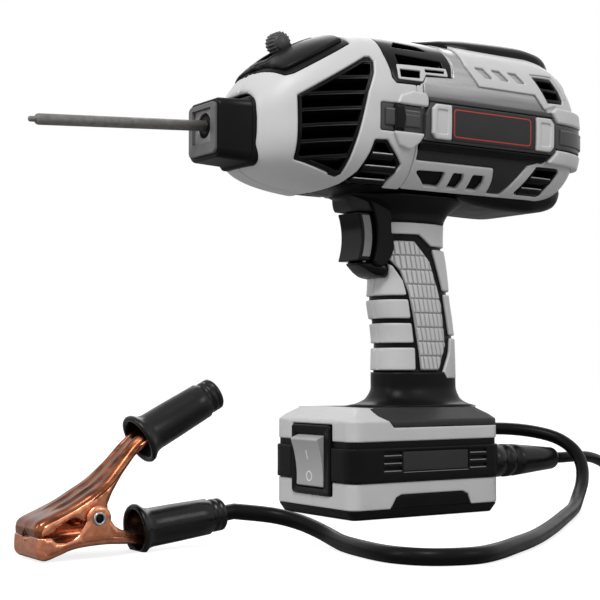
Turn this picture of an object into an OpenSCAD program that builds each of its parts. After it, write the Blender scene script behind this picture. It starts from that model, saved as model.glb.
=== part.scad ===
// Handheld stick-electrode welding gun with its ground lead, clamp and mains cord.
// +X runs from the nose to the rear, +Y to the right-hand side, +Z up. The foot stands on z = 0.

/* [Body] */
// Width of the body
body_w = 98; // [92:1:104]
// Height of the body's top above the floor
body_top = 290.5; // [286:0.5:295]
// Height of the body's underside above the floor
body_bottom = 190; // [187:0.5:192]
// Front end of the body, measured from the base's centre
body_front = -109; // [-113:0.5:-107]
// Rear end of the body, measured from the base's centre
body_rear = 131; // [128:0.5:140]
// Length over which the nose of the body swells to full size
nose_len = 99; // [90:1:104]
// Length of the rounded tail
tail_len = 46; // [38:1:50]
// Squareness of the body's section, 2 is an ellipse
roundness = 2.8; // [2.5:0.1:3.2]

/* [Walls] */
// Thickness of the pale outer covers
cover_t = 2.4; // [2:0.1:3]
// Wall of the inner housing
housing_t = 2.2; // [1.8:0.1:3]
// Seat gap between a cover and what it lies on
seat_gap = 0.1; // [0.05:0.05:0.3]
// Gap at joints between neighbouring covers
seam = 0.3; // [0.2:0.1:0.6]
// Height of the rear rail above the body's side
rail_proud = 4; // [3:0.5:5]
// Height of the band plate above the body's side
band_proud = 2.4; // [1.5:0.1:3]

/* [Handle] */
// Width of the grip
grip_w = 38; // [34:1:42]
// Depth of the grip, front to back, added to its drawn shape
grip_more = 0; // [-3:0.5:4]
// Thickness of the grip's pads
pad_t = 1.6; // [1.2:0.1:2.2]
// Width of the trigger
trigger_w = 22; // [18:1:24]
// Travel of the trigger
trigger_travel = 6; // [4:0.5:6.5]

/* [Base] */
// Length of the base
base_l = 113; // [108:1:124]
// Width of the base
base_w = 82; // [76:1:92]
// Height of the base, at its flat top
base_h = 64.4; // [63:0.2:67]
// Height of the black foot
foot_h = 5.6; // [4:0.2:6.4]
// Height of the lower cover's top edge
lower_top = 21.5; // [20:0.5:23]
// Height of the band's top edge
band_top = 41.5; // [40:0.5:43]
// Corner radius of the base, seen from above
base_r = 7; // [5:0.5:10]
// Wall of the base's covers
base_wall = 2.5; // [2:0.1:3]

/* [Switch] */
// Width of the rocker
rocker_w = 27.5; // [24:0.5:29]
// Radius of the rocker's ends about its pivot
rocker_r = 15.6; // [14:0.1:16.4]
// Height of the rocker's pivot above the floor
rocker_z = 33; // [32:0.5:34]
// Angle between the rocker's two positions
rocker_swing = 18.5; // [14:0.5:20]
// Width of the switch bezel
bezel_w = 40.4; // [36:0.2:44]
// Height of the switch bezel
bezel_h = 41; // [37:0.5:42]

/* [Nose] */
// Width of the nose block
nose_block_w = 35; // [32:0.5:36]
// Height of the nose block
nose_block_h = 34.4; // [32:0.2:35]
// How far the nose block's centre lies below the middle of the body's front end
nose_drop = 3.1; // [2:0.1:4]
// How far the nose block stands out of the body
nose_out = 24; // [20:0.5:28]
// Diameter of the coated electrode
rod_d = 6.2; // [5:0.1:7]
// Length of the electrode
rod_l = 130; // [90:1:350]
// Angle at which the chuck holds the electrode below level
rod_tilt = 3.6; // [0:0.1:5]
// Running clearance between the electrode and its socket, on the radius
rod_fit = 0.08; // [0.05:0.01:0.1]
// Lift of the chuck's clamping jaw
jaw_lift = 1.5; // [1:0.1:1.8]
// Travel of the clamping slider
slider_travel = 9; // [6:0.5:10]

/* [Cords] */
// Diameter of the mains cord
cord_d = 7; // [6:0.1:7.2]
// Diameter of the ground lead
lead_d = 8; // [7:0.1:8.4]
// Turns of the stored mains cord
coil_turns = 6.5; // [4.5:1:8.5]
// Radius of the coil at the middle of its turns
coil_r = 38; // [36:0.5:44]
// Gap between neighbouring turns of the coil
coil_gap = 0.6; // [0.5:0.1:1.5]
// Diameter of the plug's body
plug_d = 37; // [34:0.5:40]
// Length of the plug's body
plug_l = 34; // [28:1:44]
// Diameter of a plug pin
pin_d = 4.8; // [4:0.1:5]
// Length of a plug pin
pin_l = 19; // [17:0.5:20]
// Distance between the plug's pins
pin_pitch = 19; // [17:0.5:20]

/* [Clamp] */
// Outer width of the clamp's lower jaw
jaw_w = 32; // [28:0.5:36]
// Thickness of the clamp's sheet metal
sheet_t = 1.5; // [1.2:0.1:2]
// Gap at each side between the two jaws
jaw_gap = 0.3; // [0.2:0.05:0.5]
// Diameter of the clamp's rivet
rivet_d = 4.4; // [4:0.1:5]
// Diameter of the clamp's grips
boot_d = 20; // [18:0.5:22]
// Opening angle of the clamp
clamp_open = 18; // [10:1:18]

/* [Cooling] */
// Room between the fan and the housing round it
fan_room = 11.3; // [10:0.1:14]
// Depth of the cooling fan
fan_depth = 15; // [12:0.5:20]
// Blades on the fan's rotor
fan_blades = 7; // [5:1:9]

/* [Hidden] */
far = 400;
$fn = 48;

pale = "silver";
dark = "#2a2a2c";
grey = "#55575a";
copper = "#b8683f";

// ---- Body loft -------------------------------------------------------------------------
// The body's outlines are drawn on one that runs from -109 to 131 and from 190 to 290.5, and follow the real one.
function side_x(x) = body_front + (x + 109) * ((body_rear - body_front) / 240);
function side_z(z) = body_bottom + (z - 190) * ((body_top - body_bottom) / 100.5);
function placed(points) = [for (p = points) [side_x(p[0]), side_z(p[1])]];
function all_placed(lists) = [for (points = lists) placed(points)];

nose_z = side_z(227) - nose_drop;
nose_lip = 3.5;
nose_half_w = nose_block_w / 2 + nose_lip;
nose_top = nose_z + nose_block_h / 2 + 5.9;
nose_bottom = nose_z - nose_block_h / 2 + 0.3;
tail_half_w = body_w * 2 / 7;
tail_top = side_z(258);
tail_bottom = side_z(215);
body_full = body_front + nose_len;
tail_start = body_rear - tail_len;
nose_steps = 8;
tail_steps = 6;
cap_scale = 0.05;
stations = concat(
    [for (i = [0 : nose_steps]) body_front + nose_len * (1 - cos(90 * i / nose_steps))],
    [body_full + (tail_start - body_full) / 2],
    [for (i = [0 : tail_steps]) tail_start + tail_len * sin(90 * i / tail_steps)],
    [body_rear + 1]);
side_steps = 12;
side_angles = [for (k = [0 : side_steps]) -90 + 180 * k / side_steps];
over_angles = [for (k = [0 : side_steps]) 180 * k / side_steps];

function rise(t, e) = pow(1 - pow(1 - t, 2.6), e);
function fall(t) = pow(1 - pow(t, 2.2), 0.55);
function along(x, nose, full, tail, e) =
    x < body_full ? nose + (full - nose) * rise(max(0, (x - body_front) / nose_len), e)
    : x <= tail_start ? full
    : tail + (full - tail) * fall(min(1, (x - tail_start) / tail_len));
function half_w(x) = along(x, nose_half_w, body_w / 2, tail_half_w, 0.64);
function top_z(x) = along(x, nose_top, body_top, tail_top, 0.82);
function bottom_z(x) = along(x, nose_bottom, body_bottom, tail_bottom, 0.46);
function signed_pow(v, p) = sign(v) * pow(abs(v), p);
// A layer that lies deeper than the outer surface is shorter at both ends by its depth.
function shifted(x, depth) =
    body_front + depth + (x - body_front) * (body_rear - body_front - 2 * depth) / (body_rear - body_front);
function body_point(x, a, depth) =
    let (s = x > body_rear ? cap_scale : 1, px = min(x, body_rear),
         w = half_w(px) - depth, t = top_z(px) - depth, b = bottom_z(px) + depth, p = 2 / roundness)
    [shifted(px, depth), -w * s * signed_pow(cos(a), p), (t + b) / 2 + s * (t - b) / 2 * signed_pow(sin(a), p)];
function surface_z(x, y) =
    let (t = top_z(x), b = bottom_z(x), f = 1 - pow(min(1, abs(y) / half_w(x)), roundness))
    (t + b) / 2 + (t - b) / 2 * pow(max(0, f), 1 / roundness);
function between(list, low, high) = [for (v = list) if (v >= low && v <= high) v];
// The stations from the last one before low to the first one after high.
function spanning(low, high) = between(stations, max([stations[0], for (v = stations) if (v <= low) v]),
    min([stations[len(stations) - 1], for (v = stations) if (v >= high) v]));

// ---- Side outlines, as [x, z] ----------------------------------------------------------
band_z = side_z(234.5);
grille_points = placed([
    [-91, 243], [-48, 269.5], [-44.5, 270], [-42.5, 267], [-43.5, 260], [-48, 248], [-51.5, 234],
    [-56, 216], [-59, 201], [-62, 198.5], [-90.5, 206.5]
]);
louvre_count = 8;
louvre_pitch = 9;
louvre_t = 1.8;
louvre_slope = 6;
grille_rim = 2.6;
front_panel_points = placed([[-99.5, 259.5], [-95, 255], [-90.5, 256.3], [-52.5, 278.3], [-52, 320], [-99.5, 320]]);
top_vent_points = placed([
    [-34.5, 320], [-34.5, 272], [-32, 262], [-31.5, 258], [-28.5, 255], [-11, 255.5], [-8.5, 258],
    [-6.5, 261.5], [14.5, 263], [16.5, 272], [12, 320]
]);
top_vent_cells = all_placed([
    [[-25.5, 279], [2, 279], [-4, 282.5], [-20, 283.5]],
    [[-25.5, 274], [9, 273.2], [9.5, 268.5], [-25.2, 267]],
    [[-25.2, 264.2], [-9.5, 264.8], [-10.5, 259.8], [-25.2, 259.2]],
    [[-6, 266.3], [9.5, 267], [9, 265], [-6.3, 264.2]]
]);
low_vent_points = placed([
    [-43.5, 220.5], [-34.5, 221], [-21.5, 207.5], [-27.5, 194.5], [-57, 194], [-50, 202], [-45.5, 213]
]);
low_vent_cells = [for (z = [213.5, 206.5, 199.5]) placed([[-60, z], [-20, z], [-20, z + 4.6], [-60, z + 4.6]])];
strip_front = side_x(-40);
strip_rear = side_x(160);
plate_front = side_x(-12);
plate_rear = side_x(96);
strip_low = side_z(226.5);
strip_high = side_z(242.5);
plate_points = placed([
    [-12, 217.5], [88, 217.5], [96, 225], [97, 242.5], [92, 249], [-7, 248.5], [-7, 243], [-12, 240], [-12, 226]
]);
rail_points = placed([
    [86, 217.5], [88, 217.5], [96, 225], [97, 242.5], [92, 249.5], [96, 252.5], [160, 252.5], [160, 217.5]
]);
dark_panel_points = placed([
    [-12, 217.8], [86, 217.8], [76, 214.5], [64, 196.5], [52.5, 196.5], [51, 204.5],
    [49, 211], [-12, 211]
]);
cell_points = all_placed([
    [[-11, 205.5], [13, 206], [13, 197.5], [2, 197.5]],
    [[19, 206], [27.5, 206], [28.5, 202], [27.5, 197.5], [19, 197.5]],
    [[34.5, 206], [44, 206], [45, 202], [43.5, 197.5], [34.5, 197.5]]
]);
rear_low_points = placed([[84, 214.5], [104, 215], [106, 213], [97, 199], [94, 197.5], [75, 197.5], [74, 199]]);
rear_low_cells = [for (z = [209, 203, 199]) placed([[60, z], [115, z], [115, z + 3.6], [60, z + 3.6]])];
rear_high_points = placed([[82, 272.5], [101.5, 273.5], [107, 265], [109, 259.5], [107.5, 257], [92, 256]]);
rear_high_cells = all_placed([
    [[85.5, 270.3], [100.3, 270.8], [103, 266], [88.2, 265.7]],
    [[89.5, 263.6], [103.8, 263.8], [105, 259.5], [92, 258.8]]
]);
ridge_points = placed([
    [27, 320], [27, 272.5], [35, 259.7], [81, 259.7], [88, 251], [97, 254], [110, 260], [116, 272],
    [112, 320]
]);
slot_points = [for (x = [33.5, 47, 60.5]) placed([[x, 272.2], [x + 8, 272.2], [x + 14, 265.8], [x + 7, 265.8]])];
label_low = [side_x(10), side_z(224.5)];
label_high = [side_x(77), side_z(244.9)];
collar_points = placed([
    [-18.5, 251], [-8.5, 250.8], [-6.6, 248.3], [-6.6, 244], [-9.7, 238], [-9.7, 225], [-12.5, 221],
    [-18, 216.8], [-21, 216.8], [-27, 218.5], [-31, 225], [-31, 240.5], [-27, 247.7]
]);

// ---- Shared shapes ---------------------------------------------------------------------
function quad(a, b, c, d) = [[a, b, c], [a, c, d]];

// A curved plate between two grids of points, the first one outside.
module patch(outer, inner) {
    n = len(outer);
    m = len(outer[0]);
    s = n * m;
    e = (n - 1) * m;
    points = concat([for (r = outer) for (p = r) p], [for (r = inner) for (p = r) p]);
    cells = [for (i = [0 : n - 2]) for (j = [0 : m - 2]) i * m + j];
    faces = concat(
        [for (c = cells) for (f = quad(c, c + 1, c + m + 1, c + m)) f],
        [for (c = cells) for (f = quad(s + c, s + c + m, s + c + m + 1, s + c + 1)) f],
        [for (j = [0 : m - 2]) for (f = quad(s + j, s + j + 1, j + 1, j)) f],
        [for (j = [0 : m - 2]) for (f = quad(e + j, e + j + 1, s + e + j + 1, s + e + j)) f],
        [for (i = [0 : n - 2]) let (c = i * m) for (f = quad(c, c + m, s + c + m, s + c)) f],
        [for (i = [0 : n - 2]) let (c = i * m + m - 1) for (f = quad(c + m, c, s + c, s + c + m)) f]);
    polyhedron(points, faces);
}

// A solid through closed rings of points.
module loft(rings) {
    n = len(rings);
    m = len(rings[0]);
    points = [for (r = rings) for (p = r) p];
    faces = concat(
        [[for (j = [m - 1 : -1 : 0]) j], [for (j = [0 : m - 1]) (n - 1) * m + j]],
        [for (i = [0 : n - 2]) for (j = [0 : m - 1]) let (c = i * m + j, d = i * m + (j + 1) % m)
            for (f = quad(c, d, d + m, c + m)) f]);
    polyhedron(points, faces);
}

// The body's skin between two depths, over some stations and angles.
module skin(low, high, angles, outer, inner) {
    xs = spanning(side_x(low), side_x(high));
    patch([for (x = xs) [for (a = angles) body_point(x, a, outer)]],
        [for (x = xs) [for (a = angles) body_point(x, a, inner)]]);
}

// Side outlines become solids that run across the body, or across its left half.
module across() translate([0, far / 2, 0]) rotate([90, 0, 0]) linear_extrude(far) children();
module left_half() translate([0, -seat_gap / 2, 0]) rotate([90, 0, 0]) linear_extrude(far) children();
module along_x(x0, x1) translate([x0, 0, 0]) rotate([90, 0, 90]) linear_extrude(x1 - x0) children();
module shape(points) polygon(points);
module shapes(list) for (p = list) polygon(p);
module inset(by) offset(delta = -by) children();
module region(x0, z0, x1, z1) translate([x0, z0]) square([x1 - x0, z1 - z0]);
module mirrored() mirror([0, 1, 0]) children();
module both() {
    children();
    mirrored() children();
}
module rounded(w, h, r) {
    square([w - 2 * r, h], center = true);
    square([w, h - 2 * r], center = true);
    for (x = [-1, 1]) for (y = [-1, 1]) translate([x * (w / 2 - r), y * (h / 2 - r)]) circle(r);
}

// ---- Housing ---------------------------------------------------------------------------
core_out = cover_t + seat_gap;
core_in = core_out + housing_t;
grip_bottom = base_h;
grip_top = body_bottom + 5;
// The grip's rows are drawn on a grip 130.6 high and follow the real one: from its bottom, and from its top.
function grip_z(up) = grip_bottom + up * ((grip_top - grip_bottom) / 130.6);
function neck_z(up) = grip_top + up * ((grip_top - grip_bottom) / 130.6);
grip_squareness = 2.6;
grip_steps = 12;
grip_front = [
    [0, -25], [1.5, -17], [5, -10.5], [12, -7.5], [22, -7.5], [40, -7], [50, -8], [58, -9.5],
    [65, -10.5], [78, -9.5], [94, -12]
];
grip_back = [
    [0, 62], [1.5, 56], [5, 51], [12, 48.8], [22, 48.5], [36, 48], [52, 46.3], [66, 43.6], [79, 42.3],
    [92, 40.3]
];
grip_rows = [0, 1.5, 5, 12, 20.5, 22, 31, 40, 50, 60, 70, 80, 90];
neck_rows = [
    [-29, -13, 38.4, 0], [-20, -13.5, 38.6, 0], [-17.6, -13.8, 39, 0], [-17.4, -13.8, 39, 0],
    [-12, -15, 42, 0], [-7, -24, 48, 3], [-1.5, -40, 58, 9]
];
neck_step = -17.5;
foot_flare = [[0, 11], [1.5, 7], [5, 2.5], [12, 0], [200, 0]];
step_row = 21;
function grip_ring(z, front, back, half, angles, depth) =
    [for (a = angles) [(front + back) / 2 + ((back - front) / 2 - depth) * signed_pow(cos(a), 2 / grip_squareness),
        -(half - depth) * signed_pow(sin(a), 2 / grip_squareness), z]];
function grip_at(dz, angles, depth) =
    grip_ring(grip_z(dz), lookup(dz, grip_front) - grip_more / 2, lookup(dz, grip_back) + grip_more / 2,
        grip_w / 2 + lookup(dz, foot_flare), angles, depth);
function neck_at(row, angles, depth) =
    grip_ring(neck_z(row[0]), row[1] - grip_more / 2, row[2] + grip_more / 2, grip_w / 2 + row[3], angles, depth);
function grip_grid(low, high, angles, depth) = concat(
    [for (dz = grip_rows) if (dz >= low && dz <= high) grip_at(dz, angles, depth)],
    [for (row = neck_rows) if (row[0] + 130.6 <= high) neck_at(row, angles, depth)]);
grip_angles = [for (k = [0 : grip_steps]) 180 * k / grip_steps];
pocket_low = neck_z(-42);
pocket_high = neck_z(-12);
pocket_rear = -3;
trigger_gap = 0.3;
lip_w = 26;

module grip_core() {
    loft(concat([for (dz = grip_rows) grip_at(dz, grip_angles, dz > step_row ? pad_t + seat_gap : 0)],
        [for (row = neck_rows) neck_at(row, grip_angles, row[0] < neck_step ? pad_t + seat_gap : 0)]));
}

// The lips over and under the trigger.
module chin_2d() {
    polygon([[-27, pocket_low], [-6, pocket_low], [-6, pocket_low - 12], [-12, pocket_low - 11],
        [-19, pocket_low - 7], [-25, pocket_low - 3]]);
}
module trigger_lips() {
    translate([0, lip_w / 2, 0]) rotate([90, 0, 0]) linear_extrude(lip_w) {
        polygon([[-40, grip_top - 1], [-38, pocket_high + 1.5], [-36.5, pocket_high], [-10, pocket_high],
            [-10, grip_top - 1]]);
        chin_2d();
    }
}

module trigger_pocket() {
    translate([-60, -trigger_w / 2 - trigger_gap, pocket_low])
        cube([pocket_rear + 60, trigger_w + 2 * trigger_gap, pocket_high - pocket_low]);
}

fan_x = side_x(62);
fan_w = min(body_w, body_top - body_bottom) - 2 * (core_in + fan_room);
fan_z = (body_top + body_bottom) / 2;
board_z = side_z(212);
board_front = side_x(-46);
board_rear = side_x(52);
board_w = body_w * 33 / 49;
board_t = 1.6;
frame_seat = 0.1;
rib_t = 3;

// Walls inside the housing that carry the fan and the circuit board.
module inner_ribs() {
    intersection() {
        skin(-12, 81, side_angles, core_out + housing_t / 2, core_in + 16);
        union() {
            translate([fan_x - rib_t - frame_seat, -far, 0]) cube([rib_t, far, far]);
            translate([fan_x + fan_depth + frame_seat, -far, 0]) cube([rib_t, far, far]);
            for (x = [-12, 42]) translate([side_x(x), -far, 0]) cube([rib_t, far, board_z - seat_gap]);
        }
    }
}

module openings_2d() {
    inset(seam - 0.15) shape(grille_points);
    inset(seam + 1) shape(low_vent_points);
    inset(seam + 1) shape(top_vent_points);
    inset(seam + 1) shape(rear_low_points);
    inset(seam + 1) shape(rear_high_points);
}

module housing() color(dark) {
    difference() {
        union() {
            skin(-200, 200, side_angles, core_out, core_in);
            grip_core();
            trigger_lips();
            inner_ribs();
        }
        trigger_pocket();
        across() openings_2d();
        slider_room();
        nose_hole(seam / 2);
        translate([-far, -seat_gap / 2, -1]) cube([2 * far, far, far]);
    }
}

// ---- Pale covers -----------------------------------------------------------------------
front_cover_rear = side_x(-14);

module band_2d(gap) {
    offset(delta = gap) {
        region(strip_front, strip_low, plate_front + 1, strip_high);
        shape(plate_points);
        region(plate_rear - 1, strip_low, strip_rear, strip_high);
    }
}

module front_cover_2d() {
    difference() {
        polygon(placed([[-140, 100], [-70, 100], [-67, 190], [-59, 193.5], [-50, 199], [-44, 206],
            [-37, 194.8], [-14, 194.8], [-14, 320], [-140, 320]]));
        shape(grille_points);
        shape(front_panel_points);
        shape(top_vent_points);
        shape(low_vent_points);
        band_2d(seam);
    }
}

module nose_hole(gap) {
    along_x(-far / 2, body_front + 14)
        translate([0, nose_z]) rounded(nose_block_w + 4 + 2 * gap, nose_block_h + 6 + 2 * gap, 6 + gap);
}

module front_shell() color(pale) {
    difference() {
        intersection() {
            skin(-200, -14, side_angles, 0, cover_t);
            left_half() front_cover_2d();
        }
        nose_hole(seam);
    }
}

module rear_cover_2d() {
    difference() {
        region(front_cover_rear + seam, side_z(195.3), strip_rear, side_z(320));
        shape(top_vent_points);
        band_2d(seam);
        shape(dark_panel_points);
        shapes(cell_points);
        shape(rear_low_points);
        shape(rear_high_points);
    }
}

module rear_part(z0, z1, angles) {
    intersection() {
        skin(-13, 200, angles, 0, cover_t);
        left_half() intersection() {
            rear_cover_2d();
            region(-far, z0, far, z1);
        }
    }
    intersection() {
        skin(86, 200, between(angles, -45, 45), -rail_proud, cover_t / 2);
        left_half() difference() {
            shape(rail_points);
            band_2d(seam);
            region(-far, z0 - 2 * far, far, z0);
            region(-far, z1, far, z1 + 2 * far);
        }
    }
}

module rear_shell() color(pale) {
    rear_part(band_z, far, between(side_angles, -15, 90));
    difference() {
        intersection() {
            skin(27, 131, between(side_angles, 0, 90), -ridge_proud, cover_t / 2);
            left_half() difference() {
                shape(ridge_points);
                shapes(slot_points);
                offset(delta = 1) shape(rear_high_points);
            }
        }
        translate([0, 0, 100]) linear_extrude(far) offset(delta = seam) hump_plan();
    }
}

module rear_sill() color(pale) rear_part(-far, band_z, between(side_angles, -90, 15));
ridge_proud = 1;

// The glossy cover on top, seated on the body's curved top.
hump_rows = [for (row = [
    [6, 12, 1.2], [14, 18, 4], [26, 22.5, 6.4], [46, 25, 7.2], [76, 25.5, 8.6], [98, 25.5, 9],
    [107, 24, 10.2], [113, 21, 9], [118, 16, 5.5]
]) [side_x(row[0]), row[1] * body_w / 98, row[2]]];
hump_across = 8;
function hump_ring(row) =
    let (x = row[0], half = row[1], crown = row[2])
    concat(
        [for (k = [0 : hump_across]) let (y = -half * cos(180 * k / hump_across))
            [x, y, surface_z(x, y) + seat_gap + 0.2 + crown * pow(sin(180 * k / hump_across), 0.6)]],
        [for (k = [hump_across - 1 : -2 : 1]) let (y = -half * cos(180 * k / hump_across))
            [x, y, surface_z(x, y) - 3]]);

module hump_plan() polygon(concat([for (r = hump_rows) [r[0], -r[1]]],
    [for (k = [len(hump_rows) - 1 : -1 : 0]) [hump_rows[k][0], hump_rows[k][1]]]));

module top_cover() color(dark) difference() {
    loft([for (row = hump_rows) hump_ring(row)]);
    loft([for (x = spanning(side_x(0), body_rear)) [for (a = [-90 : 15 : 255]) body_point(x, a, -seat_gap)]]);
}

module front_panel() color(dark) {
    difference() {
        intersection() {
            skin(-99.5, -52, over_angles, 0.5, cover_t);
            across() inset(seam) shape(front_panel_points);
        }
        slider_slot();
    }
}

// ---- Grilles and vents -----------------------------------------------------------------
module louvre_bars() {
    for (k = [0 : louvre_count - 1])
        translate([side_x(-66), side_z(201 + k * louvre_pitch)]) rotate(louvre_slope)
            square([70, louvre_t], center = true);
}

module grille() color(dark) {
    intersection() {
        skin(-91, -42.5, side_angles, 0.8, core_in + 1.5);
        left_half() {
            difference() {
                inset(seam) shape(grille_points);
                inset(grille_rim) shape(grille_points);
            }
            intersection() {
                inset(grille_rim - 0.1) shape(grille_points);
                louvre_bars();
            }
        }
    }
}

module vent_insert(points, cells, low, high, angles) {
    intersection() {
        skin(low, high, angles, 0.6, core_in);
        left_half() difference() {
            inset(seam + 1.2) shape(points);
            shapes(cells);
        }
    }
    intersection() {
        skin(low, high, angles, 0.6, cover_t);
        left_half() difference() {
            inset(seam) shape(points);
            inset(seam + 1.2) shape(points);
        }
    }
}

module upper_vents() color(dark) both()
    vent_insert(top_vent_points, top_vent_cells, -34.5, 16.5, between(side_angles, 0, 90));

module lower_vents() color(dark) both()
    vent_insert(low_vent_points, low_vent_cells, -57, -21.5, between(side_angles, -75, 0));

module rear_vents() color(dark) both() {
    vent_insert(rear_high_points, rear_high_cells, 82, 109, between(side_angles, 0, 45));
    vent_insert(rear_low_points, rear_low_cells, 74, 106, between(side_angles, -60, -15));
}

// ---- Side band -------------------------------------------------------------------------
module side_panels() color(grey) both() intersection() {
    skin(-12, 86, between(side_angles, -90, 15), cover_t / 2, cover_t);
    left_half() inset(seam) shape(dark_panel_points);
}

module band() color(grey) {
    intersection() {
        skin(-40, 200, between(side_angles, -30, 30), 0.4, cover_t);
        left_half() band_2d(0);
    }
    intersection() {
        skin(-12, 97, between(side_angles, -45, 45), -band_proud, 1);
        left_half() difference() {
            shape(plate_points);
            offset(delta = seam) shape(collar_points);
        }
    }
    intersection() {
        skin(95, 200, between(side_angles, -30, 30), 0.8 - rail_proud, 1);
        left_half() region(plate_rear - 1, strip_low, strip_rear, strip_high);
    }
}

module label_2d() {
    region(label_low[0], label_low[1], label_high[0], label_high[1]);
}

module label_plates() color(dark) both() intersection() {
    skin(10, 77, between(side_angles, -30, 30), -band_proud - 0.9, -band_proud - seat_gap);
    left_half() label_2d();
}

bracket_w = 14.6;
bracket_h = side_z(244.7) - side_z(224.3);
bracket_cut = 3;
module bracket_2d(x, side) {
    h = bracket_h / 2;
    translate([x, band_z]) scale([side, 1]) polygon([
        [0, h], [bracket_w - bracket_cut, h], [bracket_w, h - bracket_cut],
        [bracket_w, bracket_cut - h], [bracket_w - bracket_cut, -h], [0, -h]
    ]);
}

module brackets() color(pale) both() {
    intersection() {
        skin(-12, 97, between(side_angles, -30, 30), -band_proud - 2.2, -band_proud - seat_gap);
        left_half() {
            bracket_2d(label_low[0] - 1, -1);
            bracket_2d(label_high[0] + 1, 1);
        }
    }
}

module collars() color(pale) both() intersection() {
    skin(-31, -6.6, between(side_angles, -45, 45), -2, -seat_gap);
    left_half() difference() {
        shape(collar_points);
        region(side_x(-60), strip_low, side_x(0), strip_high);
    }
}

// ---- Nose and chuck --------------------------------------------------------------------
nose_face = body_front - nose_out;
nose_wall = 4.6;
chuck_w = 21.6;
chuck_h = 20.6;
chuck_front = nose_face + 3.5;
chuck_rear = body_front + 12;
mouth_r = 6.4;
rod_z = nose_z + 2.5;
rod_in = 25;
plate_t = 2;

module rod_axis() translate([nose_face, 0, rod_z]) rotate([0, -90 - rod_tilt, 0]) children();

module nose_solid(x, w, h, r, t) {
    translate([x, 0, nose_z]) rotate([90, 0, 90]) linear_extrude(t) rounded(w, h, r);
}

module nose_block() color(dark) {
    difference() {
        union() {
            hull() {
                nose_solid(nose_face + plate_t, nose_block_w - 2, nose_block_h - 2, 4, 0.1, $fn = 32);
                nose_solid(nose_face + plate_t + 1.2, nose_block_w, nose_block_h, 5, 0.1, $fn = 32);
                nose_solid(body_front, nose_block_w + 1.6, nose_block_h + 3.6, 5, 0.1, $fn = 32);
            }
            nose_solid(body_front - 0.5, nose_block_w + 4, nose_block_h + 6, 6, 14);
        }
        translate([nose_face - 1, -chuck_w / 2 - seat_gap, nose_z + 2 - chuck_h / 2 - seat_gap])
            cube([80, chuck_w + 2 * seat_gap, chuck_h + 2 * seat_gap]);
    }
}

module nose_plate() color(grey) {
    translate([nose_face, 0, nose_z]) rotate([90, 0, 90]) linear_extrude(plate_t - seat_gap) difference() {
        rounded(nose_block_w - 5, nose_block_h - 5, 3);
        translate([0, 2]) square([chuck_w - 1, chuck_h - 1], center = true);
    }
}

jaw_l = 8;
jaw_h = 2.4;
jaw_seat = 0.3;
jaw_x = chuck_front + 12;
jaw_slot_gap = 0.15;
function rod_top(x) = rod_z + (x - nose_face) * tan(rod_tilt) + rod_d / 2 / cos(rod_tilt);

jaw_low = rod_top(jaw_x + jaw_l) + jaw_seat;

module chuck_block() color("gray") {
    difference() {
        translate([chuck_front, -chuck_w / 2, nose_z + 2 - chuck_h / 2])
            cube([chuck_rear - chuck_front, chuck_w, chuck_h]);
        rod_axis() translate([0, 0, -rod_in - seam]) cylinder(r = rod_d / 2 + rod_fit, h = rod_in + 20);
        rod_axis() translate([0, 0, -8]) cylinder(r = mouth_r, h = 30);
        translate([jaw_x - jaw_slot_gap, -rod_d / 2 - jaw_slot_gap, rod_z])
            cube([jaw_l + 2 * jaw_slot_gap, rod_d + 2 * jaw_slot_gap, jaw_low + jaw_h + jaw_lift + jaw_seat - rod_z]);
    }
}

module chuck_jaw() color("dimgray") {
    translate([jaw_x, -rod_d / 2, jaw_low]) cube([jaw_l, rod_d, jaw_h]);
}

module electrode() color("darkgray") {
    rod_axis() translate([0, 0, -rod_in]) {
        cylinder(d = rod_d, h = rod_l - 4);
        cylinder(d = rod_d / 2, h = rod_l);
    }
}

// ---- Slider on the nose ----------------------------------------------------------------
slider_x = side_x(-80);
slider_slope = atan((top_z(slider_x + 6) - top_z(slider_x - 6)) / 12);
slot_w = 7;
slot_l = 24;
knob_d = 13;
knob_w = 11;
knob_ribs = 16;

module plan(x, w, l, r) translate([x, 0, 100]) linear_extrude(far) rounded(l, w, r);

module slider_slot() plan(slider_x + 2, knob_w + 1, slot_l, 3);
module slider_room() plan(slider_x + 2, slot_w, slot_l, 3);

module slider_frame() color(dark) {
    difference() {
        intersection() {
            skin(-100, -55, between(over_angles, 45, 135), -1.2, 0.5 - seat_gap);
            plan(slider_x + 2, knob_w + 8, slot_l + 10, 5);
        }
        plan(slider_x + 2, knob_w + 1, slot_l + 3, 4);
    }
}

knob_lift = 5;
module slider_knob() color(grey) {
    translate([slider_x - 2.4, 0, top_z(slider_x - 2.4)]) rotate([0, -slider_slope, 0]) {
        translate([5, 0, knob_lift]) rotate([90, 0, 0]) {
            cylinder(d = knob_d, h = knob_w, center = true);
            for (k = [0 : knob_ribs - 1])
                rotate(360 * k / knob_ribs) translate([knob_d / 2, 0, 0])
                    cylinder(r = 0.7, h = knob_w, center = true, $fn = 16);
        }
        translate([1, 0, -5]) cube([5, slot_w - 2 * jaw_slot_gap, 16], center = true);
        translate([1, 0, -13.4]) cube([9, slot_w + 5, 2], center = true);
    }
}

// ---- Trigger ---------------------------------------------------------------------------
trigger_front = -32.5;
trigger_back = -10;
trigger_low = pocket_low + trigger_gap;
trigger_high = pocket_high - trigger_gap;
trigger_curve = 42;
inlay_t = 0.8;

module trigger_2d() {
    difference() {
        polygon([[trigger_front, trigger_low], [trigger_back, trigger_low], [trigger_back, trigger_high],
            [trigger_front, trigger_high]]);
        translate([trigger_front + 3 - trigger_curve, (trigger_low + trigger_high) / 2]) circle(trigger_curve, $fn = 96);
    }
}

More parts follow.
